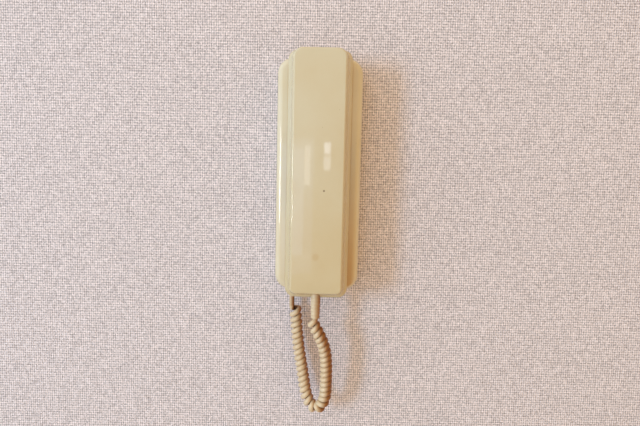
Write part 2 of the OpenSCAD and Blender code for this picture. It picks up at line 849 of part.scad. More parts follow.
wall_plate();
base_cover();
ear_pocket();
mouth_pocket();
base_chassis();
cover_screw();
circuit_board();
board_screws();
transformer_core();
transformer_winding();
capacitors();
resistors();
signal_chip();
terminal_block();
terminal_screws();
speaker_frame();
speaker_cone();
speaker_magnet();
hook_lever();
hook_pin();
hook_spring();
hook_switch();
call_button();
button_switch();
volume_slider();
volume_potentiometer();
cord_grommet();
base_leads();
handset_outer_shell();
handset_inner_shell();
ear_cap();
mouth_cap();
receiver_capsule();
receiver_gasket();
microphone();
microphone_boot();
handset_weight();
handset_screws();
strain_relief();
handset_leads();
base_cord_tail();
curly_cord();
handset_cord_tail();
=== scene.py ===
# %% [markdown]
# # A wall-hung handset station
# A slim base hangs on the wall, and a slab handset hangs in it with its face to the wall. A curly
# cord joins the two in a loop below. The shells are aged, glossy, ivory plastic.
#
# The CAD model is the frame. It comes first, so that every piece made here can be placed by its
# numbers. The frame's axes are +X to the right, +Y into the wall and +Z up, in metres.

# %% Load the frame
import math

import bmesh
import bpy
import numpy as np
from mathutils import Matrix, Vector


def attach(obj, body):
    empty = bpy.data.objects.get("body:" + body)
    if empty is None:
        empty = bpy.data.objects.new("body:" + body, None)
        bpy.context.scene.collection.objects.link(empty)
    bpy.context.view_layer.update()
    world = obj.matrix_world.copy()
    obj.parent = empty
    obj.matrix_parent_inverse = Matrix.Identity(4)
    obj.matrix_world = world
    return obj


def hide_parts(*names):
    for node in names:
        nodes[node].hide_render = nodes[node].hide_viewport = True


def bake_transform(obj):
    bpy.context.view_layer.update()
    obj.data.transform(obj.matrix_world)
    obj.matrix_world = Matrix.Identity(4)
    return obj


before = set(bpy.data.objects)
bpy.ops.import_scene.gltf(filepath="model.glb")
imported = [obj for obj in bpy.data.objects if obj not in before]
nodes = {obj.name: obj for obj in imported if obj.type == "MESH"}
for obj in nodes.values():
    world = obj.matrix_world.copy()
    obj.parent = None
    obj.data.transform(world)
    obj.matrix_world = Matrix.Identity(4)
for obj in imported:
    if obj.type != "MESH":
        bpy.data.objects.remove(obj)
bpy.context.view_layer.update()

# %% [markdown]
# ## Units and colours
# The base is 82 mm wide, so millimetres are easier to read than metres. Places are given as X,
# depth and Z, where depth is the distance from the wall, which is minus Y. Colours are picked as
# screen values from 0 to 255 and turned into the linear light that shaders work in.

# %% Millimetres, places and colours
MM = 0.001


def place(x, depth, z):
    return Vector((x * MM, -depth * MM, z * MM))


def shade(red, green, blue):
    def linear(value):
        value /= 255
        return value / 12.92 if value <= 0.04045 else ((value + 0.055) / 1.055) ** 2.4

    return (linear(red), linear(green), linear(blue), 1.0)


print("a point on the face:", [round(v, 4) for v in place(0, 62, 0)])

# %% [markdown]
# ## Camera
# The camera looks a little down and leans a little, as a hand-held one does. Its turn is built
# from three axes, so that pitch, roll and yaw stay readable. A lens of 28 mm on a 36 mm sensor is
# wide, so the slanted sides of the handset show as well as its face.

# %% Camera
CAMERA_PLACE = place(4.6, 515, 7.6)
SENSOR_WIDTH, LENS = 36, 28.125
NEAREST, FARTHEST = 0.02, 20
pitch, roll, yaw = math.radians(5.13), math.radians(1.27), math.radians(-0.26)
look = Vector((math.sin(yaw) * math.cos(pitch), math.cos(yaw) * math.cos(pitch), -math.sin(pitch)))
level_right = Vector((math.cos(yaw), -math.sin(yaw), 0))
level_up = level_right.cross(look)
camera_right = level_right * math.cos(roll) + level_up * math.sin(roll)
camera_up = level_up * math.cos(roll) - level_right * math.sin(roll)


def add_object(name, data):
    """Puts a mesh, a camera or a lamp into the scene as an object."""
    thing = bpy.data.objects.new(name, data)
    bpy.context.scene.collection.objects.link(thing)
    return thing


camera_data = bpy.data.cameras.new("camera")
camera_data.sensor_width, camera_data.lens = SENSOR_WIDTH, LENS
camera_data.clip_start, camera_data.clip_end = NEAREST, FARTHEST
camera = add_object("camera", camera_data)
camera_turn = Matrix((camera_right, camera_up, -look)).transposed().to_4x4()
camera.matrix_world = Matrix.Translation(CAMERA_PLACE) @ camera_turn
bpy.context.scene.camera = camera
print("camera at (mm):", [round(v / MM, 1) for v in camera.location])

# %% [markdown]
# ## Shader nodes in short form
# Every finish is a small graph of nodes. These helpers add a node, fill in its sockets and link
# sockets that come from other nodes, so that a material reads as a list of what it is made of.

# %% Node helpers
def add_node(tree, kind, values=None, **settings):
    """Adds a node, sets its settings, and fills or links the sockets named in values."""
    node = tree.nodes.new(kind)
    for name, value in settings.items():
        setattr(node, name, value)
    for name, value in (values or {}).items():
        socket = node.inputs[name]
        if isinstance(value, bpy.types.NodeSocket):
            tree.links.new(value, socket)
        else:
            socket.default_value = value
    return node


def arithmetic(tree, operation, *values, clamp=False):
    numbered = dict(enumerate(values))
    return add_node(tree, "ShaderNodeMath", numbered, operation=operation, use_clamp=clamp).outputs[0]


def multiply(tree, first, *others, clamp=False):
    """Multiplies values one after another."""
    for other in others:
        first = arithmetic(tree, "MULTIPLY", first, other, clamp=clamp)
    return first


def add_up(tree, first, second, clamp=False):
    return arithmetic(tree, "ADD", first, second, clamp=clamp)


def less(tree, first, second):
    return arithmetic(tree, "SUBTRACT", first, second)


def blend_colour(tree, factor, first, second, blend_type="MIX"):
    node = add_node(tree, "ShaderNodeMix", data_type="RGBA", blend_type=blend_type)
    for index, value in ((0, factor), (6, first), (7, second)):
        if isinstance(value, bpy.types.NodeSocket):
            tree.links.new(value, node.inputs[index])
        else:
            node.inputs[index].default_value = value
    return node.outputs[2]


def remap(tree, value, low, high, to_low=0.0, to_high=1.0):
    return add_node(tree, "ShaderNodeMapRange", {
        "Value": value, "From Min": low, "From Max": high, "To Min": to_low, "To Max": to_high,
    }).outputs["Result"]


def object_place(tree):
    return add_node(tree, "ShaderNodeTexCoord").outputs["Object"]


def split(tree, vector):
    """The X, Y and Z of a vector."""
    return add_node(tree, "ShaderNodeSeparateXYZ", {0: vector}).outputs


def noise(tree, where, scale, detail, roughness=0.5):
    return add_node(tree, "ShaderNodeTexNoise", {
        "Vector": where, "Scale": scale, "Detail": detail, "Roughness": roughness}).outputs[0]


def new_group(name, inputs, outputs):
    """A shader node group with named sockets. Each input is (name, kind, default)."""
    tree = bpy.data.node_groups.new(name, "ShaderNodeTree")
    for label, kind, default in inputs:
        tree.interface.new_socket(name=label, in_out="INPUT", socket_type=kind).default_value = default
    for label, kind in outputs:
        tree.interface.new_socket(name=label, in_out="OUTPUT", socket_type=kind)
    return tree, tree.nodes.new("NodeGroupInput"), tree.nodes.new("NodeGroupOutput")


FLOAT, COLOUR, VECTOR = "NodeSocketFloat", "NodeSocketColor", "NodeSocketVector"

# %% [markdown]
# ## Aged plastic, as one shared group
# The shells, caps and cord are all light plastics that have yellowed unevenly, carry fine wiping
# scratches and a few specks, and were never perfectly flat out of the mould. One node group makes
# those four effects from Object coordinates, so the pattern keeps its real size on every piece.
# It puts out a colour, a roughness and a height. The shader itself stays in each material.

# %% Aged plastic group
aged, aged_in, aged_out = new_group("aged_plastic", [
    ("Colour", COLOUR, (0.8, 0.8, 0.8, 1)), ("Aged Colour", COLOUR, (0.6, 0.5, 0.3, 1)),
    ("Ageing", FLOAT, 0.5), ("Mottle Scale", FLOAT, 22.0), ("Specks", FLOAT, 1.0),
    ("Roughness", FLOAT, 0.2), ("Scratches", FLOAT, 0.1), ("Ripple", FLOAT, 0.3),
], [("Colour", COLOUR), ("Roughness", FLOAT), ("Height", FLOAT)])
aged_place = object_place(aged)

MOTTLE_DETAIL, MOTTLE_ROUGHNESS, MOTTLE_FROM, MOTTLE_FULL = 4.0, 0.55, 0.32, 0.72
mottle = noise(aged, aged_place, aged_in.outputs["Mottle Scale"], MOTTLE_DETAIL, MOTTLE_ROUGHNESS)
patches = multiply(aged, remap(aged, mottle, MOTTLE_FROM, MOTTLE_FULL), aged_in.outputs["Ageing"], clamp=True)
yellowed = blend_colour(aged, patches, aged_in.outputs["Colour"], aged_in.outputs["Aged Colour"])

# One cell in fourteen holds a speck, which fills the middle of its cell.
SPECK_CELLS, SPECK_REACH, SPECK_PICK, SPECK_STRENGTH = 210.0, 0.07, 0.93, 0.45
speck_cells = add_node(aged, "ShaderNodeTexVoronoi", {
    "Vector": aged_place, "Scale": SPECK_CELLS, "Randomness": 1.0}).outputs
speck_picks = add_node(aged, "ShaderNodeTexWhiteNoise", {
    "Vector": speck_cells["Position"]}, noise_dimensions="3D").outputs["Value"]
speck_dots = arithmetic(aged, "LESS_THAN", speck_cells["Distance"], SPECK_REACH)
speck_rare = arithmetic(aged, "GREATER_THAN", speck_picks, SPECK_PICK)
specks = multiply(aged, speck_dots, speck_rare, aged_in.outputs["Specks"])
specked = blend_colour(aged, multiply(aged, specks, SPECK_STRENGTH), yellowed, shade(122, 88, 48))

# Wiping scratches are a noise that is stretched along one slanting direction.
WIPE_TURN, WIPE_STRETCH = (0.1, 0.35, 0.2), (1500, 1500, 60)
WIPE_FROM, WIPE_FULL, WEAR_SCALE, WEAR_FROM, WEAR_FULL = 0.64, 0.74, 35.0, 0.4, 0.65
wipe_place = add_node(aged, "ShaderNodeMapping", {
    "Vector": aged_place, "Rotation": WIPE_TURN, "Scale": WIPE_STRETCH}).outputs[0]
wipe_lines = remap(aged, noise(aged, wipe_place, 1.0, 2.0), WIPE_FROM, WIPE_FULL)
wear_zones = remap(aged, noise(aged, aged_place, WEAR_SCALE, 2.0), WEAR_FROM, WEAR_FULL)
scratches = multiply(aged, wipe_lines, wear_zones, aged_in.outputs["Scratches"])

RIPPLE_SCALE, GRAIN_SCALE = 55.0, 1600.0
GRAIN_SHARE, SCRATCH_SHARE, MOTTLE_DULLING = 0.006, 0.05, 0.03
ripple = multiply(aged, noise(aged, aged_place, RIPPLE_SCALE, 1.0), aged_in.outputs["Ripple"])
grain = multiply(aged, noise(aged, aged_place, GRAIN_SCALE, 2.0), GRAIN_SHARE)
height = less(aged, add_up(aged, ripple, grain), multiply(aged, scratches, SCRATCH_SHARE))
dulled = add_up(aged, aged_in.outputs["Roughness"], multiply(aged, mottle, MOTTLE_DULLING))
aged.links.new(specked, aged_out.inputs["Colour"])
aged.links.new(add_up(aged, dulled, scratches, clamp=True), aged_out.inputs["Roughness"])
aged.links.new(height, aged_out.inputs["Height"])
print("group", aged.name, "has", len(aged.nodes), "nodes")

# %% [markdown]
# ## Ivory, vinyl and dark plastics
# The shells are the glossiest, the cord is softer and browner, and the chassis is matt black. The
# front shell carries two marks of its own, a dark nick and a faint brown spot, each placed by its
# distance from a point. Both shells are painted darker and warmer towards the bottom, as painted
# shade. The base has stayed paler, and it carries painted shade of its own: a thin dark line where
# the handset's edge stands over it and a strip at the lower right, where the handset shades it
# from the window.
#
# Such marks could be painted, but masks that are worked out from X, Y and Z stay where they are put
# when a shape is changed. A pair of places, in millimetres, says where each mask starts and is full.

# %% Marks and painted shade
# Painted shade on the base's front: a thin dark line under the handset's rim and a strip at the lower right
# that the handset shades from the window.
RIM_X = 30.4
RIM_SHADE_LINE, RIM_SHADE_STRENGTH = (1.4, 0.2), 0.42
RIM_SHADE_ENDS = (108, 100)
SHADED_FROM, SHADED_TO = (28, 30), (39, 34)
SHADED_DROP, SHADED_STRENGTH = (20, -90), 0.85
FRONT_LEVELS = (-28.5, -29.6)
MARK_CORE = 0.45


def ramped(tree, value, between_mm, strength=1.0):
    """Rises from 0 to a strength between two places in millimetres."""
    return remap(tree, value, between_mm[0] * MM, between_mm[1] * MM, 0.0, strength)


def rim_shade_mask(tree):
    """Painted shade: a thin dark line under the handset's rim and a strip that the handset shades, on the
    front alone.
    """
    at_x, at_y, at_z = split(tree, object_place(tree))
    sideways, endways = (arithmetic(tree, "ABSOLUTE", value) for value in (at_x, at_z))
    from_rim = arithmetic(tree, "ABSOLUTE", less(tree, sideways, RIM_X * MM))
    line = multiply(tree, ramped(tree, from_rim, RIM_SHADE_LINE, RIM_SHADE_STRENGTH),
                    ramped(tree, endways, RIM_SHADE_ENDS))
    shaded = multiply(tree, ramped(tree, at_x, SHADED_FROM), ramped(tree, at_x, SHADED_TO),
                      ramped(tree, at_z, SHADED_DROP, SHADED_STRENGTH))
    return multiply(tree, arithmetic(tree, "MAXIMUM", line, shaded), ramped(tree, at_y, FRONT_LEVELS))


def add_marks(tree, tinted, marks):
    """Spots given as a centre, a radius, a colour and a strength, each with a soft edge."""
    for centre, radius, colour, strength in marks:
        away = add_node(tree, "ShaderNodeVectorMath", {0: object_place(tree), 1: tuple(centre)},
                        operation="DISTANCE").outputs["Value"]
        spot = remap(tree, away, radius, radius * MARK_CORE, 0.0, strength)
        tinted = blend_colour(tree, spot, tinted, colour)
    return tinted

# %% Plastic materials
# Between these heights in millimetres the shells are painted darker and warmer towards the bottom, as painted
# shade.
LOW_SHADE_DROP = (60, -100)
# Where the painted shade on the cord and its sleeve starts and is full, and where the shade of the gaps
# between turns is full.
PAINTED_SHADE_FROM, PAINTED_SHADE_FULL, GAP_SHADE_FULL = 0.45, 1.05, 1.6
PLASTIC_BUMP_DEPTH, PLASTIC_IOR, COAT_ROUGHNESS = 0.2 * MM, 1.5, 0.03
# The colour of the painted shade in the gaps between the cord's turns.
GAP_SHADE_COLOUR = shade(58, 36, 20)


def blank_material(name):
    material = bpy.data.materials.new(name)
    material.use_nodes = True
    material.node_tree.nodes.clear()
    return material, material.node_tree


def finish_material(tree, surface, bump, bump_depth, values):
    """Puts a shared surface's roughness and height, and the values beside them, into a shader."""
    bumped = add_node(tree, "ShaderNodeBump", {
        "Height": surface["Height"], "Strength": bump, "Distance": bump_depth}).outputs[0]
    shader = add_node(tree, "ShaderNodeBsdfPrincipled", {
        "Roughness": surface["Roughness"], "Normal": bumped, **values}).outputs[0]
    add_node(tree, "ShaderNodeOutputMaterial", {"Surface": shader})


def plastic(name, colour, aged_colour, ageing, roughness, scratches=0.1, ripple=0.3, specks=1.0,
            mottle=22.0, bump=0.4, coat=0.0, marks=(), painted_shade=None, low_shade_tint=None, rim_shade_tint=None):
    material, tree = blank_material(name)
    surface = add_node(tree, "ShaderNodeGroup", {
        "Colour": colour, "Aged Colour": aged_colour, "Ageing": ageing, "Mottle Scale": mottle,
        "Specks": specks, "Roughness": roughness, "Scratches": scratches, "Ripple": ripple,
    }, node_tree=aged).outputs
    tinted = surface["Colour"]
    # Painted shade: the lower part is tinted darker and warmer.
    if low_shade_tint:
        below = ramped(tree, split(tree, object_place(tree))["Z"], LOW_SHADE_DROP)
        tinted = blend_colour(tree, below, tinted, low_shade_tint, "MULTIPLY")
    # Painted shade along the handset's rim and in the strip that the handset shades.
    if rim_shade_tint:
        tinted = blend_colour(tree, rim_shade_mask(tree), tinted, rim_shade_tint, "MULTIPLY")
    tinted = add_marks(tree, tinted, marks)
    # Painted shade on the cord and its sleeve, read from their attribute. The gaps between turns get the
    # darkest.
    if painted_shade:
        how_shaded = add_node(tree, "ShaderNodeAttribute", attribute_name="painted_shade").outputs["Fac"]
        tinted = blend_colour(tree, remap(tree, how_shaded, PAINTED_SHADE_FROM, PAINTED_SHADE_FULL), tinted, painted_shade)
        tinted = blend_colour(tree, remap(tree, how_shaded, PAINTED_SHADE_FULL, GAP_SHADE_FULL), tinted, GAP_SHADE_COLOUR)
    finish_material(tree, surface, bump, PLASTIC_BUMP_DEPTH, {
        "Base Color": tinted, "IOR": PLASTIC_IOR, "Coat Weight": coat, "Coat Roughness": COAT_ROUGHNESS})
    return material


face_nick = (place(5.7, 62, -13), 1.1 * MM, shade(96, 66, 40), 0.85)
face_spot = (place(-0.7, 62, -74), 4.2 * MM, shade(188, 146, 96), 0.3)
# Both shells are painted darker and warmer towards the bottom, as painted shade.
handset_ivory = plastic("handset_ivory", shade(211, 196, 164), shade(206, 184, 144), 0.55, 0.02, coat=0.2,
                        marks=(face_nick, face_spot), low_shade_tint=(0.94, 0.87, 0.75, 1))
# The base's rim tint is painted shade where the handset's edge stands over it.
base_ivory = plastic("base_ivory", shade(222, 206, 176), shade(214, 192, 151), 0.5, 0.06, coat=0.2,
                     low_shade_tint=(0.97, 0.93, 0.87, 1), rim_shade_tint=(0.8, 0.55, 0.25, 1))
cap_ivory = plastic("cap_ivory", shade(204, 186, 142), shade(190, 162, 110), 0.6, 0.3)
# The cord's second brown is its painted shade.
cord_vinyl = plastic("cord_vinyl", shade(218, 193, 157), shade(204, 170, 126), 0.5, 0.36, scratches=0.05,
                     ripple=0.1, mottle=60.0, painted_shade=shade(150, 92, 40))
black_plastic = plastic("black_plastic", shade(44, 42, 40), shade(54, 50, 46), 0.5, 0.5,
                        specks=0.0, ripple=0.05)
light_plastic = plastic("light_plastic", shade(222, 216, 200), shade(210, 196, 166), 0.5, 0.32)
case_plastics = (handset_ivory, base_ivory, cap_ivory, cord_vinyl, black_plastic, light_plastic)
print("plastics:", [material.name for material in case_plastics])

# %% [markdown]
# ## Worn metal, as a second shared group
# Zinc, bare steel, iron laminations and enamelled wire all show a fine grain and a few duller
# clouds. The group makes both from Object coordinates. Pieces that are built of layers or wound
# with wire also get regular lines across them, which only those materials switch on.

# %% Worn metal group
CLOUD_SCALE, CLOUDS_FROM, CLOUDS_FULL, CLOUD_ROUGHNESS = 90.0, 0.42, 0.7, 0.35
METAL_GRAIN_SCALE, METAL_GRAIN_SHARE = 2200.0, 0.1
GROOVE_DARK, GROOVE_STRENGTH = (0.02, 0.015, 0.01, 1), 0.4
METAL_BUMP, METAL_BUMP_DEPTH = 0.35, 0.1 * MM

worn, worn_in, worn_out = new_group("worn_metal", [
    ("Colour", COLOUR, (0.5, 0.5, 0.5, 1)), ("Dull Colour", COLOUR, (0.3, 0.3, 0.28, 1)),
    ("Dulling", FLOAT, 0.4), ("Roughness", FLOAT, 0.3), ("Lines", FLOAT, 0.0), ("Line Scale", FLOAT, 700.0),
], [("Colour", COLOUR), ("Roughness", FLOAT), ("Height", FLOAT)])
worn_place = object_place(worn)
clouds = noise(worn, worn_place, CLOUD_SCALE, 5.0)
dull = multiply(worn, remap(worn, clouds, CLOUDS_FROM, CLOUDS_FULL), worn_in.outputs["Dulling"], clamp=True)
layer_lines = add_node(worn, "ShaderNodeTexWave", {
    "Vector": worn_place, "Scale": worn_in.outputs["Line Scale"]}, bands_direction="Z").outputs["Fac"]
lined = multiply(worn, layer_lines, worn_in.outputs["Lines"])
dulled_metal = blend_colour(worn, dull, worn_in.outputs["Colour"], worn_in.outputs["Dull Colour"])
grooved = blend_colour(worn, multiply(worn, lined, GROOVE_STRENGTH), dulled_metal, GROOVE_DARK)
dulled_roughness = add_up(worn, worn_in.outputs["Roughness"], multiply(worn, dull, CLOUD_ROUGHNESS))
metal_grain = multiply(worn, noise(worn, worn_place, METAL_GRAIN_SCALE, 2.0), METAL_GRAIN_SHARE)
worn.links.new(grooved, worn_out.inputs["Colour"])
worn.links.new(dulled_roughness, worn_out.inputs["Roughness"])
worn.links.new(add_up(worn, metal_grain, lined), worn_out.inputs["Height"])


def wave_scale(line_pitch):
    """The scale at which a wave texture repeats after a pitch in millimetres."""
    return math.pi / (10 * line_pitch * MM)


def metal(name, colour, dull_colour, dulling, roughness, line_pitch=None):
    material, tree = blank_material(name)
    surface = add_node(tree, "ShaderNodeGroup", {
        "Colour": colour, "Dull Colour": dull_colour, "Dulling": dulling, "Roughness": roughness,
        "Lines": 1.0 if line_pitch else 0.0, "Line Scale": wave_scale(line_pitch) if line_pitch else 1.0,
    }, node_tree=worn).outputs
    finish_material(tree, surface, METAL_BUMP, METAL_BUMP_DEPTH, {
        "Base Color": surface["Colour"], "Metallic": 1.0})
    return material


zinc_steel = metal("zinc_steel", shade(188, 188, 184), shade(140, 136, 124), 0.35, 0.32)
speaker_steel = metal("speaker_steel", shade(178, 178, 174), shade(140, 138, 130), 0.3, 0.34)
core_iron = metal("core_iron", shade(92, 90, 88), shade(62, 54, 48), 0.6, 0.5, line_pitch=0.5)
winding_copper = metal("winding_copper", shade(184, 108, 62), shade(140, 74, 38), 0.4, 0.3, line_pitch=0.4)
print("group", worn.name, "has", len(worn.nodes), "nodes")

# %% [markdown]
# ## Curly cord
# The cord is one length of soft vinyl lead: a short straight tail out of the base, thirty-six
# turns wound as a spring, and a straight end that runs into the sleeve on the handset. It hangs in
# a loop that also slants forwards, because it starts near the wall and ends at the handset.
#
# A curve with an array of rings would break at every joint, so the centreline is computed point by
# point. First comes the route of the loop, then the winding around it. Where the loop bends, turns
# on the inside would run into each other, so there the pitch opens just enough for them to touch.

# %% Route of the cord
CORD_D, COIL_R = 5.2, 3.65
BASE_AXIS, HANDSET_AXIS = (-20.6, 13), (-1.9, 38)
COIL_TOP_AT_BASE, COIL_TOP_AT_HANDSET = -132.5, -139
SLEEVE_END = -137.5
ROUTE_STEP, SPAN_STEPS = 0.25, 24
tail_start, sleeve_point = (-24.4, 13), (0, 41)
coil_route = [(-20.6, 13, -134), (-20.6, 13, -139), (-19.5, 13.2, -149.4), (-18.6, 14.1, -158.6),
              (-16.7, 15.6, -173.9), (-14.1, 17.1, -189.1), (-11.4, 18.6, -204.4), (-9.5, 19.9, -215.4),
              (-7.5, 21.6, -223.1), (-4.6, 23.2, -229.6), (-0.9, 24.8, -233.7), (3, 25.9, -234.6),
              (6.9, 27, -232.4), (9.8, 28.2, -227.2), (11.5, 29.2, -219.9), (12, 30.5, -209.1),
              (12.1, 32.2, -194.9), (11.5, 33.8, -181.9), (10.2, 35, -172.3), (7.8, 36.2, -163.8),
              (4.7, 37.2, -156.4), (1.6, 37.5, -150.4), (-0.8, 37.8, -145.5), (-1.9, 38, -142),
              (-1.9, 38, -139.5)]
# The coil's axis runs on past both ends of the winding, so that the straight ends lie beside it.
axis_route = [(*BASE_AXIS, -114), (*BASE_AXIS, -124)] + coil_route
axis_route += [(*HANDSET_AXIS, -138.5), (*HANDSET_AXIS, SLEEVE_END)]


def smooth_route(points, step):
    """Runs a smooth curve through the points and samples it at equal steps, all in millimetres."""
    points = np.array(points, float)
    padded = np.vstack([2 * points[0] - points[1], points, 2 * points[-1] - points[-2]])
    fine = []
    for a, b, c, d in zip(padded, padded[1:], padded[2:], padded[3:]):
        t0, t1 = 0.0, np.linalg.norm(b - a) ** 0.5
        t2 = t1 + np.linalg.norm(c - b) ** 0.5
        t3 = t2 + np.linalg.norm(d - c) ** 0.5
        for t in np.linspace(t1, t2, SPAN_STEPS, endpoint=False):
            ab = a + (b - a) * (t - t0) / (t1 - t0)
            bc = b + (c - b) * (t - t1) / (t2 - t1)
            cd = c + (d - c) * (t - t2) / (t3 - t2)
            left = ab + (bc - ab) * (t - t0) / (t2 - t0)
            right = bc + (cd - bc) * (t - t1) / (t3 - t1)
            fine.append(left + (right - left) * (t - t1) / (t2 - t1))
    fine = np.vstack([fine, points[-1]])
    run = np.concatenate([[0], np.cumsum(np.linalg.norm(np.diff(fine, axis=0), axis=1))])
    at = np.linspace(0, run[-1], int(round(run[-1] / step)) + 1)
    return np.stack([np.interp(at, run, fine[:, k]) for k in range(3)], axis=1), at


def carried_frames(line, start):
    """A tangent and two side directions at each point, turned as little as possible along the way."""
    ahead = np.gradient(line, axis=0)
    ahead /= np.linalg.norm(ahead, axis=1)[:, None]
    side = np.array(start, float)
    sides = []
    for direction in ahead:
        side = side - direction * side.dot(direction)
        side /= np.linalg.norm(side)
        sides.append(side)
    sides = np.array(sides)
    return ahead, sides, np.cross(ahead, sides)


axis_line, axis_run = smooth_route([(x, -depth, z) for x, depth, z in axis_route], ROUTE_STEP)
axis_ahead, axis_side, axis_other = carried_frames(axis_line, (1, 0, 0))


def run_at(axis, z):
    """How far along the route its nearest point to a place lies."""
    away = axis_line - np.array([axis[0], -axis[1], z])
    return axis_run[np.argmin(np.linalg.norm(away, axis=1))]


coil_from, coil_to = run_at(BASE_AXIS, COIL_TOP_AT_BASE), run_at(HANDSET_AXIS, COIL_TOP_AT_HANDSET)
print(f"route {axis_run[-1]:.0f} mm, of which {coil_to - coil_from:.0f} mm is wound")

# %% Pitch of the winding
PITCH_AT_BASE, PITCH_AT_HANDSET = 5.5, 5.25
SLACK, SLACK_RUN = 0.55, 8
EASE_IN = 4.0
BEND_SAMPLES, TIGHTEST, WIDEST_PITCH = 81, 0.3, 6.6

bend = np.linalg.norm(np.gradient(axis_ahead, axis=0), axis=1) / np.gradient(axis_run)
padded_bend = np.pad(bend, BEND_SAMPLES // 2, mode="edge")
bend = np.convolve(padded_bend, np.ones(BEND_SAMPLES) / BEND_SAMPLES, mode="valid")
touching = np.minimum(CORD_D / np.maximum(1 - bend * COIL_R, TIGHTEST), WIDEST_PITCH)
share = np.clip((axis_run - coil_from) / (coil_to - coil_from), 0, 1)
from_ends = np.minimum(axis_run - coil_from, coil_to - axis_run)
close_pitch = PITCH_AT_BASE + (PITCH_AT_HANDSET - PITCH_AT_BASE) * share
loosened = 1 + SLACK * np.exp(-np.maximum(from_ends, 0) / SLACK_RUN)
pitches = np.maximum(close_pitch * loosened, touching)
ease = np.clip(from_ends / EASE_IN, 0, 1)
turned = np.cumsum(ease * ease * (3 - 2 * ease) / pitches) * (axis_run[1] - axis_run[0])


def winding_angle(index, offset):
    """The angle about the axis at which a straight end lies, from its sideways offset."""
    offset = np.array([offset[0], -offset[1], 0.0])
    return math.atan2(offset.dot(axis_other[index]), offset.dot(axis_side[index]))


start_offset = (tail_start[0] - BASE_AXIS[0], tail_start[1] - BASE_AXIS[1])
end_offset = (sleeve_point[0] - HANDSET_AXIS[0], sleeve_point[1] - HANDSET_AXIS[1])
start_angle, end_angle = winding_angle(0, start_offset), winding_angle(-1, end_offset)
part_turn = ((end_angle - start_angle) / (2 * math.pi)) % 1
turns = round(turned[-1] - part_turn) + part_turn
turned *= turns / turned[-1]
print(f"{turns:.1f} turns at a pitch of {pitches.min():.2f} to {pitches.max():.2f} mm")

# %% Winding of the cord
STEPS_PER_TURN, TAIL_STEPS, SLEEVE_STEPS = 26, 24, 8
COIL_MARGIN, END_RUN, END_SLOPE = 0.3, 13, 3
LEAN, LEAN_AT_BASE, LEAN_AT_HANDSET = 8, 20, 8


def follow(values):
    """Values along the axis, read at the places of the cord's own points."""
    return np.stack([np.interp(at, axis_run, values[:, k]) for k in range(3)], axis=1)


wound = (axis_run > coil_from + COIL_MARGIN) & (axis_run < coil_to - COIL_MARGIN)
wound_run, wound_turns = axis_run[wound], turned[wound]
even_turns = np.linspace(wound_turns[0], wound_turns[-1], int(turns * STEPS_PER_TURN))
at = np.concatenate([
    np.linspace(0, wound_run[0], TAIL_STEPS, endpoint=False),
    np.interp(even_turns, wound_turns, wound_run),
    np.linspace(wound_run[-1], axis_run[-1], SLEEVE_STEPS)[1:]])
centre, ahead, side, other = map(follow, (axis_line, axis_ahead, axis_side, axis_other))
angle = start_angle + 2 * math.pi * np.interp(at, axis_run, turned)
near_base, near_handset = (np.clip(1 - np.abs(at - end) / END_RUN, 0, 1) for end in (coil_from, coil_to))
before, after = at <= coil_from, at >= coil_to
start_r, end_r = math.hypot(*start_offset), math.hypot(*end_offset)
reach = (COIL_R + (start_r - COIL_R) * np.where(before, 1, near_base)
         + (end_r - COIL_R) * np.where(after, 1, near_handset))
outwards = reach[:, None] * (np.cos(angle)[:, None] * side + np.sin(angle)[:, None] * other)
within = np.clip(np.minimum(at - coil_from, coil_to - at) / END_SLOPE, 0, 1)
lean = np.tan(np.radians(LEAN + LEAN_AT_BASE * near_base + LEAN_AT_HANDSET * near_handset)) * within
cord_line = centre + outwards + ahead * (lean * ahead[:, 2] * outwards[:, 0])[:, None]

# %% [markdown]
# The tube is swept in mesh code, because each vertex then knows which side of the winding it is
# on. That value goes into an attribute, and the material paints shade from it: on the inner side
# of the turns, darkest in the gaps between them, on the right side, away from the window, and on
# the straight tail out of the base. The loop crosses from the base to the handset.

# %% Rings of points
def ring_quads(rings, sides):
    """The faces between rings of points that follow each other in a mesh."""
    return [(i * sides + k, i * sides + (k + 1) % sides,
             (i + 1) * sides + (k + 1) % sides, (i + 1) * sides + k)
            for i in range(rings - 1) for k in range(sides)]


def end_faces(rings, sides):
    return tuple(range(sides)), tuple(range((rings - 1) * sides, rings * sides))

# %% Sweep the cord
CORD_SIDES = 14
# Painted shade on the cord: most on the inner side of the winding, then on the right side, away from the
# window.
INNER_SHADE_BASE, INNER_RISE, MOST_SIDE_SHADE = 0.45, 1.15, 1.15
LEFT_TONE, RIGHT_RISE, TAIL_RISE, TONE_RUN = 0.36, 0.3, 1.0, 10
OUTWARD_RISE, SPOKE_RISE = 0.5, 0.4


def shade_amount(outward, spokes, tone):
    """How much painted shade each point takes: its inner side the most, then its right side."""
    inner = INNER_SHADE_BASE + INNER_RISE * np.clip(-np.einsum("ijk,ik->ij", spokes, outward), 0, 1)
    side_shade = tone[:, None] + OUTWARD_RISE * outward[:, :1] + SPOKE_RISE * spokes[:, :, 0]
    return np.maximum(inner, np.minimum(side_shade, MOST_SIDE_SHADE)).ravel().astype(np.float32)


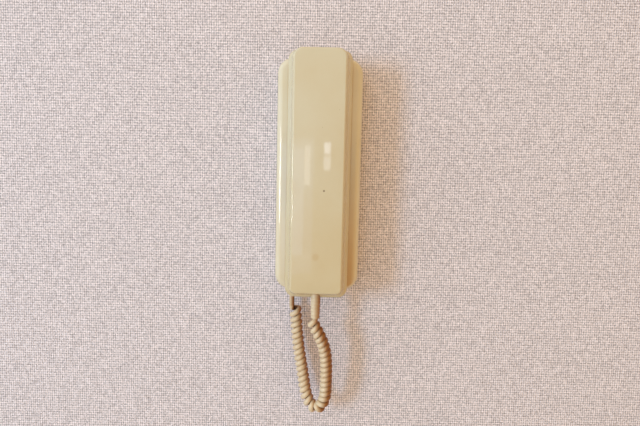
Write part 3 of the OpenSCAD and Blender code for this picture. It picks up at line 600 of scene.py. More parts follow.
def sweep(name, line, radius, sides, material, outward, tone):
    """A closed round tube along a line in millimetres. Each ring has an outward direction and a tone."""
    _, first, second = carried_frames(line, (0.3, 1, 0.2))
    around = np.linspace(0, 2 * math.pi, sides, endpoint=False)[None, :, None]
    spokes = np.cos(around) * first[:, None, :] + np.sin(around) * second[:, None, :]
    rings = line[:, None, :] + radius * spokes
    first_end, last_end = end_faces(len(line), sides)
    mesh = bpy.data.meshes.new(name)
    mesh.from_pydata((rings.reshape(-1, 3) * MM).tolist(), [],
                     ring_quads(len(line), sides) + [first_end[::-1], last_end])
    mesh.materials.append(material)
    mesh.shade_smooth()
    painted_shade = mesh.attributes.new("painted_shade", "FLOAT", "POINT").data
    painted_shade.foreach_set("value", shade_amount(outward, spokes, tone))
    return add_object(name, mesh)


outward_unit = outwards / np.linalg.norm(outwards, axis=1)[:, None]
# The painted shade grows towards the right and is strongest on the straight tail out of the base.
to_right = np.clip(0.5 + cord_line[:, 0] / TONE_RUN, 0, 1)
tone = LEFT_TONE + RIGHT_RISE * to_right + TAIL_RISE * before
curly_line = sweep("curly_line", cord_line, CORD_D / 2, CORD_SIDES, cord_vinyl, outward_unit, tone)
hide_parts("base_cord_tail", "curly_cord", "handset_cord_tail")
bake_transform(curly_line)
print("cord faces:", len(curly_line.data.polygons))

# %% [markdown]
# ## Shells as stacked outlines
# The handset and the base are mouldings whose cross-sections are all rounded rectangles. A box with
# a bevel could not follow them, because their walls lean, flare at the seam and crown at the face.
# So each shell is a stack of outlines, one per depth, skinned with faces. A row holds the depth,
# the half width, the top, the bottom and the two corner radii, and the corners of that profile are
# turned into curves before the outlines are drawn.

# %% Outlines
CORNER_STEPS, LONG_STEPS, SHORT_STEPS = 10, 22, 6
QUARTER = math.pi / 2


def outline(depth, half_w, top, bottom, top_r, bottom_r):
    """A rounded upright rectangle at one depth: points in millimetres, with the long sides divided."""
    upper, lower = top - top_r, bottom + bottom_r
    corners = ((half_w - top_r, upper, top_r), (top_r - half_w, upper, top_r),
               (bottom_r - half_w, lower, bottom_r), (half_w - bottom_r, lower, bottom_r))
    points = []
    for index, (x, z, radius) in enumerate(corners):
        arc = [np.array([x + radius * math.cos(turn), -depth, z + radius * math.sin(turn)])
               for turn in QUARTER * (index + np.linspace(0, 1, CORNER_STEPS + 1))]
        if points:
            points += between(points[-1], arc[0], SHORT_STEPS if index % 2 else LONG_STEPS)
        points += arc
    return points + between(points[-1], points[0], LONG_STEPS)


def between(first, last, steps):
    return [first + (last - first) * step / steps for step in range(1, steps)]


def soften(rows, reaches, steps=6):
    """Turns each inner corner of a profile of rows into a curve that starts its reach before it."""
    rows = [np.array(row, float) for row in rows]
    curved = [rows[0]]
    for before, row, after, reach in zip(rows, rows[1:], rows[2:], reaches):
        enter, leave = (row + (other - row) * min(reach / np.linalg.norm((other - row)[:2]), 0.5)
                        for other in (before, after))
        for t in np.linspace(0, 1, steps + 1) if reach else [0.5]:
            curved.append((1 - t) ** 2 * enter + 2 * t * (1 - t) * row + t * t * leave if reach else row)
    return curved + [rows[-1]]


def inset(row, distance, depth):
    """The same outline made smaller all round, at another depth."""
    radii = [max(radius - distance, 0.5) for radius in row[4:]]
    return [depth, row[1] - distance, row[2] - distance, row[3] + distance] + radii


print("points in one outline:", len(outline(0, 10, 20, -20, 3, 3)))

# %% Skins, cuts and finishing
MERGE_WITHIN = 0.0001 * MM


def skin(name, rings, material=None):
    """Skins equal rings of points in millimetres, closes both ends and turns every face outwards."""
    count, sides = len(rings), len(rings[0])
    points = np.array(rings, float).reshape(-1, 3) * MM
    mesh = bpy.data.meshes.new(name)
    mesh.from_pydata(points.tolist(), [], ring_quads(count, sides) + list(end_faces(count, sides)))
    turn_outwards(mesh)
    if material:
        mesh.materials.append(material)
    return add_object(name, mesh)


def turn_outwards(mesh):
    """Merges points that lie on each other and turns the faces of each closed form outwards."""
    work = bmesh.new()
    work.from_mesh(mesh)
    bmesh.ops.remove_doubles(work, verts=work.verts, dist=MERGE_WITHIN)
    bmesh.ops.recalc_face_normals(work, faces=work.faces)
    work.to_mesh(mesh)
    work.free()


def settle(piece):
    """Applies the modifiers of a piece for good."""
    bpy.context.view_layer.update()
    shape = bpy.data.meshes.new_from_object(piece.evaluated_get(bpy.context.evaluated_depsgraph_get()))
    piece.modifiers.clear()
    piece.data = shape


def carve(piece, *tools, operation="DIFFERENCE"):
    """Cuts closed tools out of a closed piece, or joins them to it, and removes the tools."""
    for tool in tools:
        cut = piece.modifiers.new("cut", "BOOLEAN")
        cut.operation, cut.solver, cut.object = operation, "EXACT", tool
        settle(piece)
        bpy.data.objects.remove(tool)
    return piece


def finish_shading(piece, edge_angle=32):
    """Shades a piece smooth, keeps its real edges and evens the normals beside its cuts."""
    piece.data.shade_smooth()
    piece.data.set_sharp_from_angle(angle=math.radians(edge_angle))
    weighted = piece.modifiers.new("even normals", "WEIGHTED_NORMAL")
    weighted.keep_sharp = True
    settle(piece)
    print(piece.name, "faces:", len(piece.data.polygons))


def dress(piece, body, slot, *replaced):
    """Says which body a piece rides on and which CAD nodes it stands for; its slot, for the finish, is not
    used.
    """
    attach(piece, body)
    if replaced:
        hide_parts(*replaced)

# %% Round tools
def disc(depth, radius, x=0.0, z=0.0, steps=48):
    """A circle drawn in the front view."""
    turns = np.linspace(0, 2 * math.pi, steps, endpoint=False)
    return [(x + radius * math.cos(turn), -depth, z + radius * math.sin(turn)) for turn in turns]


def hoop(z, radius, x=0.0, depth=0.0, steps=40):
    """A circle drawn in the plan view."""
    turns = np.linspace(0, 2 * math.pi, steps, endpoint=False)
    return [(x + radius * math.cos(turn), -depth + radius * math.sin(turn), z) for turn in turns]


def block(name, low, high):
    """A plain cutting block between two corners, each X, depth and Z."""
    (x0, d0, z0), (x1, d1, z1) = low, high
    around = ((x0, z0), (x1, z0), (x1, z1), (x0, z1))
    return skin(name, [[(x, -depth, z) for x, z in around] for depth in (d0, d1)])


def rod(x, z, depth_from, depth_to, radius):
    return skin("tool", [disc(depth_from, radius, x, z), disc(depth_to, radius, x, z)])


def upright(x, depth, z_from, z_to, radius):
    return skin("tool", [hoop(z_from, radius, x, depth), hoop(z_to, radius, x, depth)])

# %% [markdown]
# ## Front shell of the handset
# The front shell flares at the seam, runs up two leaning walls and ends in a long face. The face is
# not flat: it crowns by 0.4 mm across its width and eases down at both ends, and that
# slight curve is what stretches a reflection. The crown is a formula over X and Z, so its rings
# only say where the points are. The shell is hollow, with a hole below for the cord's sleeve.

# %% Profile of the front shell
WALL = 2.2
SEAM = [40.9, 29.8, 116.5, -116.5, 9, 9]
FACE_EDGE = [61.6, 23.1, 113.7, -107.8, 8, 4.4]
CROWN = 0.4
FACE_STEPS = (2.8, 4, 6, 8.5, 11, 13.5, 16, 18.5, 21, 22)
face_middle, face_half = (FACE_EDGE[2] + FACE_EDGE[3]) / 2, (FACE_EDGE[2] - FACE_EDGE[3]) / 2
flank = soften([[40.6, 29.4, 116.1, -116.1, 8.6, 8.6], SEAM, [42, 29.65, 116.45, -116.3, 9, 9],
                [44.8, 26.7, 115.6, -112.9, 8.8, 7.5], [60.5, 23.95, 114.6, -108.7, 8.4, 5], FACE_EDGE,
                inset(FACE_EDGE, 1.8, FACE_EDGE[0])], (0.15, 0.5, 2.2, 0.8, 1.2))
face_rows = [inset(FACE_EDGE, distance, FACE_EDGE[0]) for distance in FACE_STEPS]


def crowned(point):
    """Raises a point of the face by the crown, which fades towards the face's four edges."""
    across = (point[0] / FACE_EDGE[1]) ** 2
    along = abs((point[2] - face_middle) / face_half) ** 10
    return np.array([point[0], point[1] - CROWN * (1 - min(across, 1)) * (1 - min(along, 1)), point[2]])


print("outlines of the front shell:", len(flank) + len(face_rows))

# %% Make the front shell
rings = [[crowned(point) for point in outline(*row)] for row in flank + face_rows]
handset_front = skin("handset_front", rings, handset_ivory)
front_hollow = skin("tool", [outline(*row) for row in (
    [38, 27.4, 114.1, -114.1, 6.8, 6.8], [43, 27.2, 114, -113.8, 6.8, 6.8],
    [47, 24.3, 113.3, -110.4, 6.6, 5.3], [59, 21.4, 112.4, -106.4, 6.2, 2.8])])
SLEEVE_DEPTH, SLEEVE_R, HANDSET_END = 41, 4.7, -116.5


def sleeve_way():
    """The round way for the sleeve, half of which is cut into each shell."""
    return upright(0, SLEEVE_DEPTH, HANDSET_END - 3, HANDSET_END + 9.5, SLEEVE_R + 0.1)


carve(handset_front, front_hollow, sleeve_way())
finish_shading(handset_front)
dress(handset_front, "handset", "handset_ivory", "handset_outer_shell")

# %% [markdown]
# ## Back shell of the handset
# The back shell faces the base. It has a rounded rim, a grip hollowed by one very wide cylinder,
# two round bosses that carry the caps and two sunk holes for the screws that hold the handset
# together. It is built as a solid first, then joined and cut in the order a tool maker would.

# %% Make the back shell
CUP_Z, CUP_R, CAP_DEPTH = 77, 22, 17.5
SCREW_Z, BACK_FACE = 44, 31.2
GRIP_HALF, GRIP_HOLLOW, GRIP_SWING = 50, 6, 0.36
CLEAR_OF_SHELL = 10
grip_r = (GRIP_HALF ** 2 + GRIP_HOLLOW ** 2) / (2 * GRIP_HOLLOW)
grip_axis = BACK_FACE + GRIP_HOLLOW - grip_r


def grip_tool(radius):
    """A slice of the wide cylinder that hollows the grip, drawn only where it meets the handset."""
    turns = np.linspace(-GRIP_SWING, GRIP_SWING, 61)
    arc = [(grip_axis + radius * math.cos(turn), radius * math.sin(turn)) for turn in turns]
    edge = [(CLEAR_OF_SHELL, arc[0][1])] + arc + [(CLEAR_OF_SHELL, arc[-1][1])]
    return skin("tool", [[(x, -depth, z) for depth, z in edge] for x in (-40, 40)])


handset_back = skin("handset_back", [outline(*row) for row in soften(
    [[40.4, 29.4, 116.1, -116.1, 8.6, 8.6], [40.1, 29.8, 116.5, -116.5, 9, 9],
     [BACK_FACE, 28.6, 115, -115, 8.5, 8.5], [BACK_FACE, 20, 106.4, -106.4, 4, 4]],
    (0.15, 1.4))], handset_ivory)
back_hollow = skin("tool", [outline(*row) for row in (
    [42, 27.4, 114.1, -114.1, 6.8, 6.8], [33.4, 26.4, 112.8, -112.8, 6.3, 6.3])])
posts = [rod(0, side * SCREW_Z, BACK_FACE + 1, 40.3, 4.8) for side in (-1, 1)]
carve(back_hollow, grip_tool(grip_r + WALL))
carve(handset_back, back_hollow)
carve(handset_back, *posts, operation="UNION")
carve(handset_back, grip_tool(grip_r))


def boss(centre_z):
    """A round boss with an eased rim and a small curved foot where it leaves the shell."""
    rim = ((19.5, 21.2), (19.55, 21.6), (19.8, 21.9), (20.2, CUP_R))
    foot = ((29.6, CUP_R), (30.5, 22.3), (31, 23), (31.4, 24), (33.4, 24))
    return skin("tool", [disc(depth, radius, 0, centre_z, 64) for depth, radius in rim + foot])


carve(handset_back, boss(CUP_Z), boss(-CUP_Z), operation="UNION")
screw_ways = [rod(0, side * SCREW_Z, BACK_FACE - 2, 34.6, 3.3) for side in (-1, 1)]
screw_holes = [rod(0, side * SCREW_Z, 34, 42, 1.7) for side in (-1, 1)]
bores = [rod(0, side * CUP_Z, CAP_DEPTH - 1, 35, CUP_R - 2) for side in (-1, 1)]
carve(handset_back, *bores, *screw_ways, *screw_holes, sleeve_way())
finish_shading(handset_back)
dress(handset_back, "handset", "handset_ivory", "handset_inner_shell")

# %% [markdown]
# ## Cover of the base
# The base is a shallow tray with its open side to the wall. Its front edge is a soft round of 6 mm,
# and two deep tubs take the handset's cups. Each tub is taller than its cup, because a cup rises
# as it is lifted out. The rim of each tub is eased, and a window in the upper one lets the hook
# lever's nub through.

# %% Make the cover
BASE_DEPTH, BASE_EDGE = 30, 6
BASE = [0, 41, 112.5, -112.5, 15, 15]
TUB_R, TUB_RISE, TUB_FLOOR, TUB_WALL, TUB_WALL_FRONT = 24, 6.5, 16, 2, 28.5
SPEAKER_Z, BUTTON_Z, NUB_Z = 24, -24, 61


def rounded_block(name, distance, back_depth, material=None):
    """The base block, or its hollow when it is made smaller all round by a distance."""
    edge, front = BASE_EDGE - distance, BASE_DEPTH - distance
    rounding = [inset(BASE, distance + edge * (1 - math.cos(turn)), front - edge * (1 - math.sin(turn)))
                for turn in np.linspace(0, QUARTER, 13)]
    return skin(name, [outline(*row) for row in [inset(BASE, distance, back_depth)] + rounding], material)


def tub_outline(depth, radius, centre_z):
    """A circle that is stretched upwards by the room a cup needs."""
    half_circle = [(radius * math.cos(turn), radius * math.sin(turn)) for turn in np.linspace(0, math.pi, 29)]
    upper = [(x, -depth, centre_z + TUB_RISE + z) for x, z in half_circle]
    return upper + [(-x, -depth, centre_z - z) for x, z in half_circle]


def tub_wall(centre_z):
    depths = (TUB_FLOOR - TUB_WALL, TUB_WALL_FRONT)
    return skin("tool", [tub_outline(depth, TUB_R + TUB_WALL, centre_z) for depth in depths])


def tub_space(centre_z, rim=0.8, foot=1.2):
    """What is cut out of a tub: a curved foot, a straight wall and an eased rim."""
    eased = [(1 - math.cos(turn), 1 - math.sin(turn)) for turn in np.linspace(0, QUARTER, 6)]
    profile = [(TUB_FLOOR + foot * rise, TUB_R - foot * run) for rise, run in eased]
    profile += [(BASE_DEPTH - rim * run, TUB_R + rim * rise) for rise, run in eased]
    profile.append((BASE_DEPTH + 1, TUB_R + rim))
    return skin("tool", [tub_outline(depth, radius, centre_z) for depth, radius in profile])


cover = rounded_block("base_shell", 0, 0, base_ivory)
carve(cover, rounded_block("tool", WALL, -1))
carve(cover, tub_wall(CUP_Z), tub_wall(-CUP_Z), operation="UNION")
nub_window = block("tool", (-3.4, TUB_FLOOR - 3, NUB_Z - 5.8), (3.4, TUB_FLOOR + 1, NUB_Z + 3.4))
button_way = skin("tool", [disc(depth, radius, 0, BUTTON_Z) for depth, radius in
                           ((26, 6), (29.6, 6), (29.9, 6.12), (30, 6.4), (31, 6.4))])
carve(cover, tub_space(CUP_Z), tub_space(-CUP_Z), nub_window, button_way)

GROMMET_X, GROMMET_DEPTH, LOCK_DEPTH, SLIDER_X, SLIDER_DEPTH = -24.4, 13, 6.5, 20, 10.6
CUT_FROM, CUT_TO = BASE[3] - 1, BASE[3] + 4
slider_way = block("tool", (SLIDER_X - 7, SLIDER_DEPTH - 1.9, CUT_FROM),
                   (SLIDER_X + 7, SLIDER_DEPTH + 1.9, CUT_TO))
carve(cover, upright(GROMMET_X, GROMMET_DEPTH, CUT_FROM, CUT_TO, 4.2),
      upright(0, LOCK_DEPTH, CUT_FROM, CUT_TO, 2), slider_way)
print("cover so far:", len(cover.data.polygons), "faces")

# %% [markdown]
# ## Patterns with Geometry Nodes
# Sound slots, sound holes, sleeve rings and screws all repeat, so each is a small node tree with
# its sizes as inputs. A tree's result is turned into a plain mesh straight away. The holes and
# slots are made as solid plugs, which then cut the shells, so that they have real depth.

# %% Tree helpers
def new_tree(name, inputs):
    """A geometry tree with named inputs, each given as (name, kind, default)."""
    tree = bpy.data.node_groups.new(name, "GeometryNodeTree")
    tree.is_modifier = True
    for label, kind, default in inputs:
        socket = tree.interface.new_socket(name=label, in_out="INPUT", socket_type=kind)
        if default is not None:
            socket.default_value = default
    tree.interface.new_socket(name="Geometry", in_out="OUTPUT", socket_type="NodeSocketGeometry")
    return tree, tree.nodes.new("NodeGroupInput").outputs


def end_tree(tree, geometry, material):
    real = add_node(tree, "GeometryNodeRealizeInstances", {"Geometry": geometry}).outputs[0]
    painted = add_node(tree, "GeometryNodeSetMaterial", {"Geometry": real, "Material": material}).outputs[0]
    add_node(tree, "NodeGroupOutput", {"Geometry": painted})
    print("tree", tree.name, "has", len(tree.nodes), "nodes")


def grow(name, tree, values, points=()):
    """Runs a tree on an object, with its inputs set by identifier, and keeps the plain mesh."""
    mesh = bpy.data.meshes.new(name)
    mesh.from_pydata([tuple(point) for point in points], [], [])
    piece = add_object(name, mesh)
    modifier = piece.modifiers.new(tree.name, "NODES")
    modifier.node_group = tree
    for item in tree.interface.items_tree:
        if item.in_out == "INPUT" and item.name in values:
            modifier[item.identifier] = values[item.name]
    settle(piece)
    print(name, "grown with", len(piece.data.polygons), "faces")
    return piece


def combine(tree, **parts):
    """A vector from its X, Y and Z, where what is left out is zero."""
    return add_node(tree, "ShaderNodeCombineXYZ", parts).outputs[0]


def own_place(tree):
    """The X, Y and Z of each point of the geometry itself."""
    return split(tree, add_node(tree, "GeometryNodeInputPosition").outputs[0])


INTEGER, MATERIAL = "NodeSocketInt", "NodeSocketMaterial"
GEOMETRY, OBJECT = "NodeSocketGeometry", "NodeSocketObject"

# %% Sound slots
slots, slots_in = new_tree("sound_slots", [
    ("Circle Radius", FLOAT, 0.015), ("Slots", INTEGER, 7), ("Slot Height", FLOAT, 0.0016),
    ("Margin", FLOAT, 0.001), ("Plug Length", FLOAT, 0.006), ("Centre", VECTOR, None),
    ("Material", MATERIAL, None)])
circle_r = slots_in["Circle Radius"]
slot_gaps = add_up(slots, slots_in["Slots"], 1.0)
slot_pitch = arithmetic(slots, "DIVIDE", multiply(slots, circle_r, 2.0), slot_gaps)
slot_rows = add_node(slots, "GeometryNodeMeshLine", {
    "Count": slots_in["Slots"], "Start Location": combine(slots, Z=less(slots, slot_pitch, circle_r)),
    "Offset": combine(slots, Z=slot_pitch)}, mode="OFFSET").outputs[0]

slot_height = own_place(slots)["Z"]
circle_square, height_square = (arithmetic(slots, "POWER", value, 2.0) for value in (circle_r, slot_height))
chord = arithmetic(slots, "SQRT", less(slots, circle_square, height_square))
slot_radius = multiply(slots, slots_in["Slot Height"], 0.5)
stretch = less(slots, less(slots, chord, slots_in["Margin"]), slot_radius)
stored = add_node(slots, "GeometryNodeStoreNamedAttribute", {
    "Geometry": slot_rows, "Name": "stretch", "Value": stretch}, data_type="FLOAT", domain="POINT").outputs[0]

# A plug lies on its side, and half a step of its 24 sides is turned so that no edge faces up.
PLUG_SIDES = 24
PLUG_LIE = (QUARTER, math.pi / PLUG_SIDES, 0)
round_plug = add_node(slots, "GeometryNodeMeshCylinder", {
    "Vertices": PLUG_SIDES, "Radius": slot_radius, "Depth": slots_in["Plug Length"]}).outputs["Mesh"]
lying_plug = add_node(slots, "GeometryNodeTransform", {
    "Geometry": round_plug, "Rotation": PLUG_LIE}).outputs[0]
plugs = add_node(slots, "GeometryNodeInstanceOnPoints", {
    "Points": stored, "Instance": lying_plug}).outputs[0]
solid_plugs = add_node(slots, "GeometryNodeRealizeInstances", {"Geometry": plugs}).outputs[0]
plug_side = arithmetic(slots, "SIGN", own_place(slots)["X"])
plug_reach = add_node(slots, "GeometryNodeInputNamedAttribute", {
    "Name": "stretch"}, data_type="FLOAT").outputs[0]
long_plugs = add_node(slots, "GeometryNodeSetPosition", {
    "Geometry": solid_plugs, "Offset": combine(slots, X=multiply(slots, plug_side, plug_reach))}).outputs[0]
placed_plugs = add_node(slots, "GeometryNodeTransform", {
    "Geometry": long_plugs, "Translation": slots_in["Centre"]}).outputs[0]
end_tree(slots, placed_plugs, slots_in["Material"])

carve(cover, grow("slot_plugs", slots, {"Centre": place(0, 29, SPEAKER_Z), "Material": base_ivory}))
finish_shading(cover)
dress(cover, "base", "base_ivory", "base_cover", "ear_pocket", "mouth_pocket")

# %% Sound holes
holes, holes_in = new_tree("sound_holes", [
    ("Hole Radius", FLOAT, 0.0011), ("Inner Ring", FLOAT, 0.0045), ("Inner Holes", INTEGER, 6),
    ("Outer Ring", FLOAT, 0.009), ("Outer Holes", INTEGER, 12), ("Plug Length", FLOAT, 0.006),
    ("Centre", VECTOR, None), ("Material", MATERIAL, None)])
hole_places = add_node(holes, "GeometryNodeJoinGeometry")
for label in ("Inner", "Outer"):
    ring_points = add_node(holes, "GeometryNodeMeshCircle", {
        "Vertices": holes_in[label + " Holes"], "Radius": holes_in[label + " Ring"]}).outputs[0]
    holes.links.new(ring_points, hole_places.inputs[0])
middle_point = add_node(holes, "GeometryNodeMeshLine", {"Count": 1}).outputs[0]
holes.links.new(middle_point, hole_places.inputs[0])
pin = add_node(holes, "GeometryNodeMeshCylinder", {
    "Vertices": 20, "Radius": holes_in["Hole Radius"], "Depth": holes_in["Plug Length"]}).outputs["Mesh"]
pins = add_node(holes, "GeometryNodeInstanceOnPoints", {
    "Points": hole_places.outputs[0], "Instance": pin}).outputs[0]
placed_pins = add_node(holes, "GeometryNodeTransform", {
    "Geometry": pins, "Rotation": (QUARTER, 0, 0), "Translation": holes_in["Centre"]}).outputs[0]
end_tree(holes, placed_pins, holes_in["Material"])

# %% [markdown]
# ## Ear cap and mouth cap
# Each cap is a turned disc that dishes slightly towards its sound holes, so it is skinned from
# circles. The ear cap has nineteen holes for the receiver and the mouth cap seven for the
# microphone.

# %% Make the caps
def cap(name, centre_z, values, node):
    """A dished disc with a rolled rim, closed at the back, with holes cut through."""
    turned_profile = (
        (17.95, 0.4), (17.95, 7), (17.85, 12), (17.6, 16), (17.5, 18.4), (17.52, 20.2), (17.65, 21),
        (17.95, 21.55), (18.4, 21.8), (19.45, 21.8), (19.45, 19), (19.3, 8), (19.3, 0.4))
    rings = [disc(depth, radius, 0, centre_z, 96) for depth, radius in turned_profile]
    piece = skin(name, rings, cap_ivory)
    own_values = {**values, "Centre": place(0, 18.5, centre_z), "Material": cap_ivory}
    carve(piece, grow("hole_plugs", holes, own_values))
    finish_shading(piece)
    dress(piece, "handset", "cap_ivory", node)


cap("ear_disc", CUP_Z, {"Inner Holes": 6, "Outer Holes": 12}, "ear_cap")
cap("mouth_disc", -CUP_Z, {"Inner Ring": 5 * MM, "Inner Holes": 6, "Outer Holes": 0}, "mouth_cap")

# %% [markdown]
# ## Sleeve of the cord
# Where the cord enters the handset, a soft tapered sleeve keeps it from kinking. Its shallow
# grooves let it bend. A tapered core is skinned from circles, and a node tree sets six rounded
# bands on it, each a little narrower than the one above.

# %% Sleeve bands
BAND_ROUNDING, BAND_SIDES = 0.00045, 40
bands, bands_in = new_tree("sleeve_bands", [
    ("Bands", INTEGER, 6), ("Pitch", FLOAT, 0.0035), ("Band Height", FLOAT, 0.0029),
    ("Top Radius", FLOAT, 0.0047), ("Taper", FLOAT, 0.024), ("Band Depth", FLOAT, 0.0012),
    ("Top", VECTOR, None), ("Material", MATERIAL, None)])
band_drop = combine(bands, Z=multiply(bands, bands_in["Pitch"], -1.0))
band_places = add_node(bands, "GeometryNodeMeshLine", {
    "Count": bands_in["Bands"], "Start Location": bands_in["Top"], "Offset": band_drop,
}, mode="OFFSET").outputs[0]
band_section = add_node(bands, "GeometryNodeCurvePrimitiveQuadrilateral", {
    "Width": bands_in["Band Depth"], "Height": bands_in["Band Height"]}, mode="RECTANGLE").outputs[0]
soft_section = add_node(bands, "GeometryNodeFilletCurve", {
    "Curve": band_section, "Count": 3, "Radius": BAND_ROUNDING}, mode="POLY").outputs[0]
band_middle = less(bands, bands_in["Top Radius"], multiply(bands, bands_in["Band Depth"], 0.5))
band_circle = add_node(bands, "GeometryNodeCurvePrimitiveCircle", {
    "Resolution": BAND_SIDES, "Radius": band_middle}).outputs[0]
band_ring = add_node(bands, "GeometryNodeCurveToMesh", {
    "Curve": band_circle, "Profile Curve": soft_section}).outputs[0]
band_number = add_node(bands, "GeometryNodeInputIndex").outputs[0]
narrowing = less(bands, 1.0, multiply(bands, band_number, bands_in["Taper"]))
band_scale = combine(bands, X=narrowing, Y=narrowing, Z=1.0)
band_rings = add_node(bands, "GeometryNodeInstanceOnPoints", {
    "Points": band_places, "Instance": band_ring, "Scale": band_scale}).outputs[0]
end_tree(bands, band_rings, bands_in["Material"])

# %% Make the sleeve
SLEEVE_TOP = HANDSET_END - 1.7
SLEEVE_TONE, SLEEVE_RISE = 0.6, 0.5
sleeve_bands = grow("sleeve_bands", bands, {
    "Top": place(0, SLEEVE_DEPTH, SLEEVE_TOP), "Material": cord_vinyl})
turn_outwards(sleeve_bands.data)
sleeve_collar = ((-107.1, 5.6), (-107.3, 6), (-108.9, 6), (-109.1, 5.6))
sleeve_core = ((-109.1, 4.68), (-116, 4.5), (-136.6, 3.75), (SLEEVE_END, 3.45))
sleeve = skin("cord_sleeve", [
    hoop(z, radius, 0, SLEEVE_DEPTH) for z, radius in sleeve_collar + sleeve_core], cord_vinyl)
join_into = bmesh.new()
join_into.from_mesh(sleeve.data)
join_into.from_mesh(sleeve_bands.data)
join_into.to_mesh(sleeve.data)
join_into.free()
bpy.data.objects.remove(sleeve_bands)
finish_shading(sleeve, 40)
# The sleeve's right half, away from the window, is painted in shade.
sleeve_shade = [SLEEVE_TONE + SLEEVE_RISE * vertex.co.x / (SLEEVE_R * MM) for vertex in sleeve.data.vertices]
sleeve.data.attributes.new("painted_shade", "FLOAT", "POINT").data.foreach_set("value", sleeve_shade)
dress(sleeve, "handset", "cord_vinyl", "strain_relief")

# %% [markdown]
# ## Screws
# The handset is held together by two pan-head screws with a cross recess, and four more hold the
# board. One screw is turned and cut once, pointing out of the wall, and a node tree sets a copy on
# each point, turned by its own random angle as a hand would leave it.

# %% Make a screw
def cross_screw(name, head_r, head_height, shank_r, length, recess=0.42):
    """A pan-head screw at the origin whose head faces out of the wall."""
    dome = [(head_height * (0.55 * (1 - math.cos(turn)) - 1), head_r * (0.55 + 0.45 * math.sin(turn)))
            for turn in np.linspace(0, QUARTER, 6)]
    shank = [(0, head_r * 0.98), (0, shank_r), (length, shank_r), (length + 1, 0.4)]
    profile = [(0.02 - head_height, 0.3)] + dome + shank
    screw = skin(name, [disc(-depth, radius, steps=24) for depth, radius in profile], zinc_steel)
    arm, recess_floor = head_r * 0.55, head_height * 0.35
    for half_x, half_z in ((arm, recess / 2), (recess / 2, arm)):
        carve(screw, block("tool", (-half_x, recess_floor, -half_z), (half_x, head_height + 1, half_z)))
    finish_shading(screw)
    return screw

# %% Set the screws
set_screws, set_screws_in = new_tree("screws_on_points", [
    ("Points", GEOMETRY, None), ("Screw", OBJECT, None), ("Facing", FLOAT, 0.0), ("Seed", INTEGER, 3),
    ("Material", MATERIAL, None)])
screw_shape = add_node(set_screws, "GeometryNodeObjectInfo", {
    "Object": set_screws_in["Screw"]}).outputs["Geometry"]
screw_turn = add_node(set_screws, "FunctionNodeRandomValue", {
    3: math.pi, "Seed": set_screws_in["Seed"]}, data_type="FLOAT").outputs[1]
screw_aim = combine(set_screws, Y=screw_turn, Z=set_screws_in["Facing"])
screw_copies = add_node(set_screws, "GeometryNodeInstanceOnPoints", {
    "Points": set_screws_in["Points"], "Instance": screw_shape, "Rotation": screw_aim}).outputs[0]
end_tree(set_screws, screw_copies, set_screws_in["Material"])


def screw_row(name, pattern, points, facing, body, node):
    """Sets copies of a screw on points, as one piece that replaces a CAD node."""
    piece = grow(name, set_screws, {"Screw": pattern, "Facing": facing, "Material": zinc_steel}, points)
    dress(piece, body, "zinc_steel", node)
    bpy.data.objects.remove(pattern)


screw_row("handset_pan_screws", cross_screw("pattern", 3, 1.6, 1.48, 17.5),
          [place(0, 34.5, side * SCREW_Z) for side in (-1, 1)], math.pi, "handset", "handset_screws")
screw_row("board_pan_screws", cross_screw("pattern", 2.6, 1.6, 1.15, 4),
          [place(x, 7.6, z) for x in (-27, 27) for z in (-26, -88)], 0.0, "base", "board_screws")

# %% [markdown]
# ## Small pieces with softened edges
# The wall plate, chassis, lever, button, slider, grommet, lock screw and terminal block already
# have their right shape in the frame, only with edges as sharp as a drawing. A copy of each is
# merged into whole faces and its edges are rounded a little, because on a real moulding or
# pressing every edge catches some light.

# %% Soften copies of CAD pieces
MERGE_CORNERS, FLAT_WITHIN, SHARP_FROM = 0.003 * MM, math.radians(3), math.radians(35)


def softened(node_name, width, material, slot, body="base", segments=2):
    """Stands for a CAD node with a copy whose edges are rounded by a width in millimetres."""
    mesh = nodes[node_name].data.copy()
    work = bmesh.new()
    work.from_mesh(mesh)
    bmesh.ops.remove_doubles(work, verts=work.verts, dist=MERGE_CORNERS)
    bmesh.ops.dissolve_limit(work, angle_limit=FLAT_WITHIN, verts=work.verts, edges=work.edges)
    work.to_mesh(mesh)
    work.free()
    mesh.materials.clear()
    mesh.materials.append(material)
    piece = add_object(node_name + "_soft", mesh)
    edges = piece.modifiers.new("soft edges", "BEVEL")
    edges.width, edges.segments = width * MM, segments
    edges.limit_method, edges.angle_limit = "ANGLE", SHARP_FROM
    edges.use_clamp_overlap = True
    settle(piece)
    finish_shading(piece)
    dress(piece, body, slot, node_name)


softened("wall_plate", 0.2, zinc_steel, "zinc_steel")
softened("cover_screw", 0.25, zinc_steel, "zinc_steel")
softened("base_chassis", 0.3, black_plastic, "black_plastic")
softened("volume_slider", 0.3, black_plastic, "black_plastic", "volume_slider")
softened("hook_lever", 0.4, light_plastic, "light_plastic", "hook_lever")
softened("call_button", 0.6, light_plastic, "light_plastic", "call_button", 3)
softened("cord_grommet", 0.4, cord_vinyl, "cord_vinyl")
softened("terminal_block", 0.3, light_plastic, "light_plastic")

# %% [markdown]
# ## Finishes for what the case hides
# The board, its parts, the speaker and the capsules keep their CAD shapes, which are right as they
# are. Each gets its own finish, so that the inside looks true when the case is taken off. The
# resistors' rings and the leads' two colours are bands, which a colour ramp along one axis paints
# over the plain plastic.

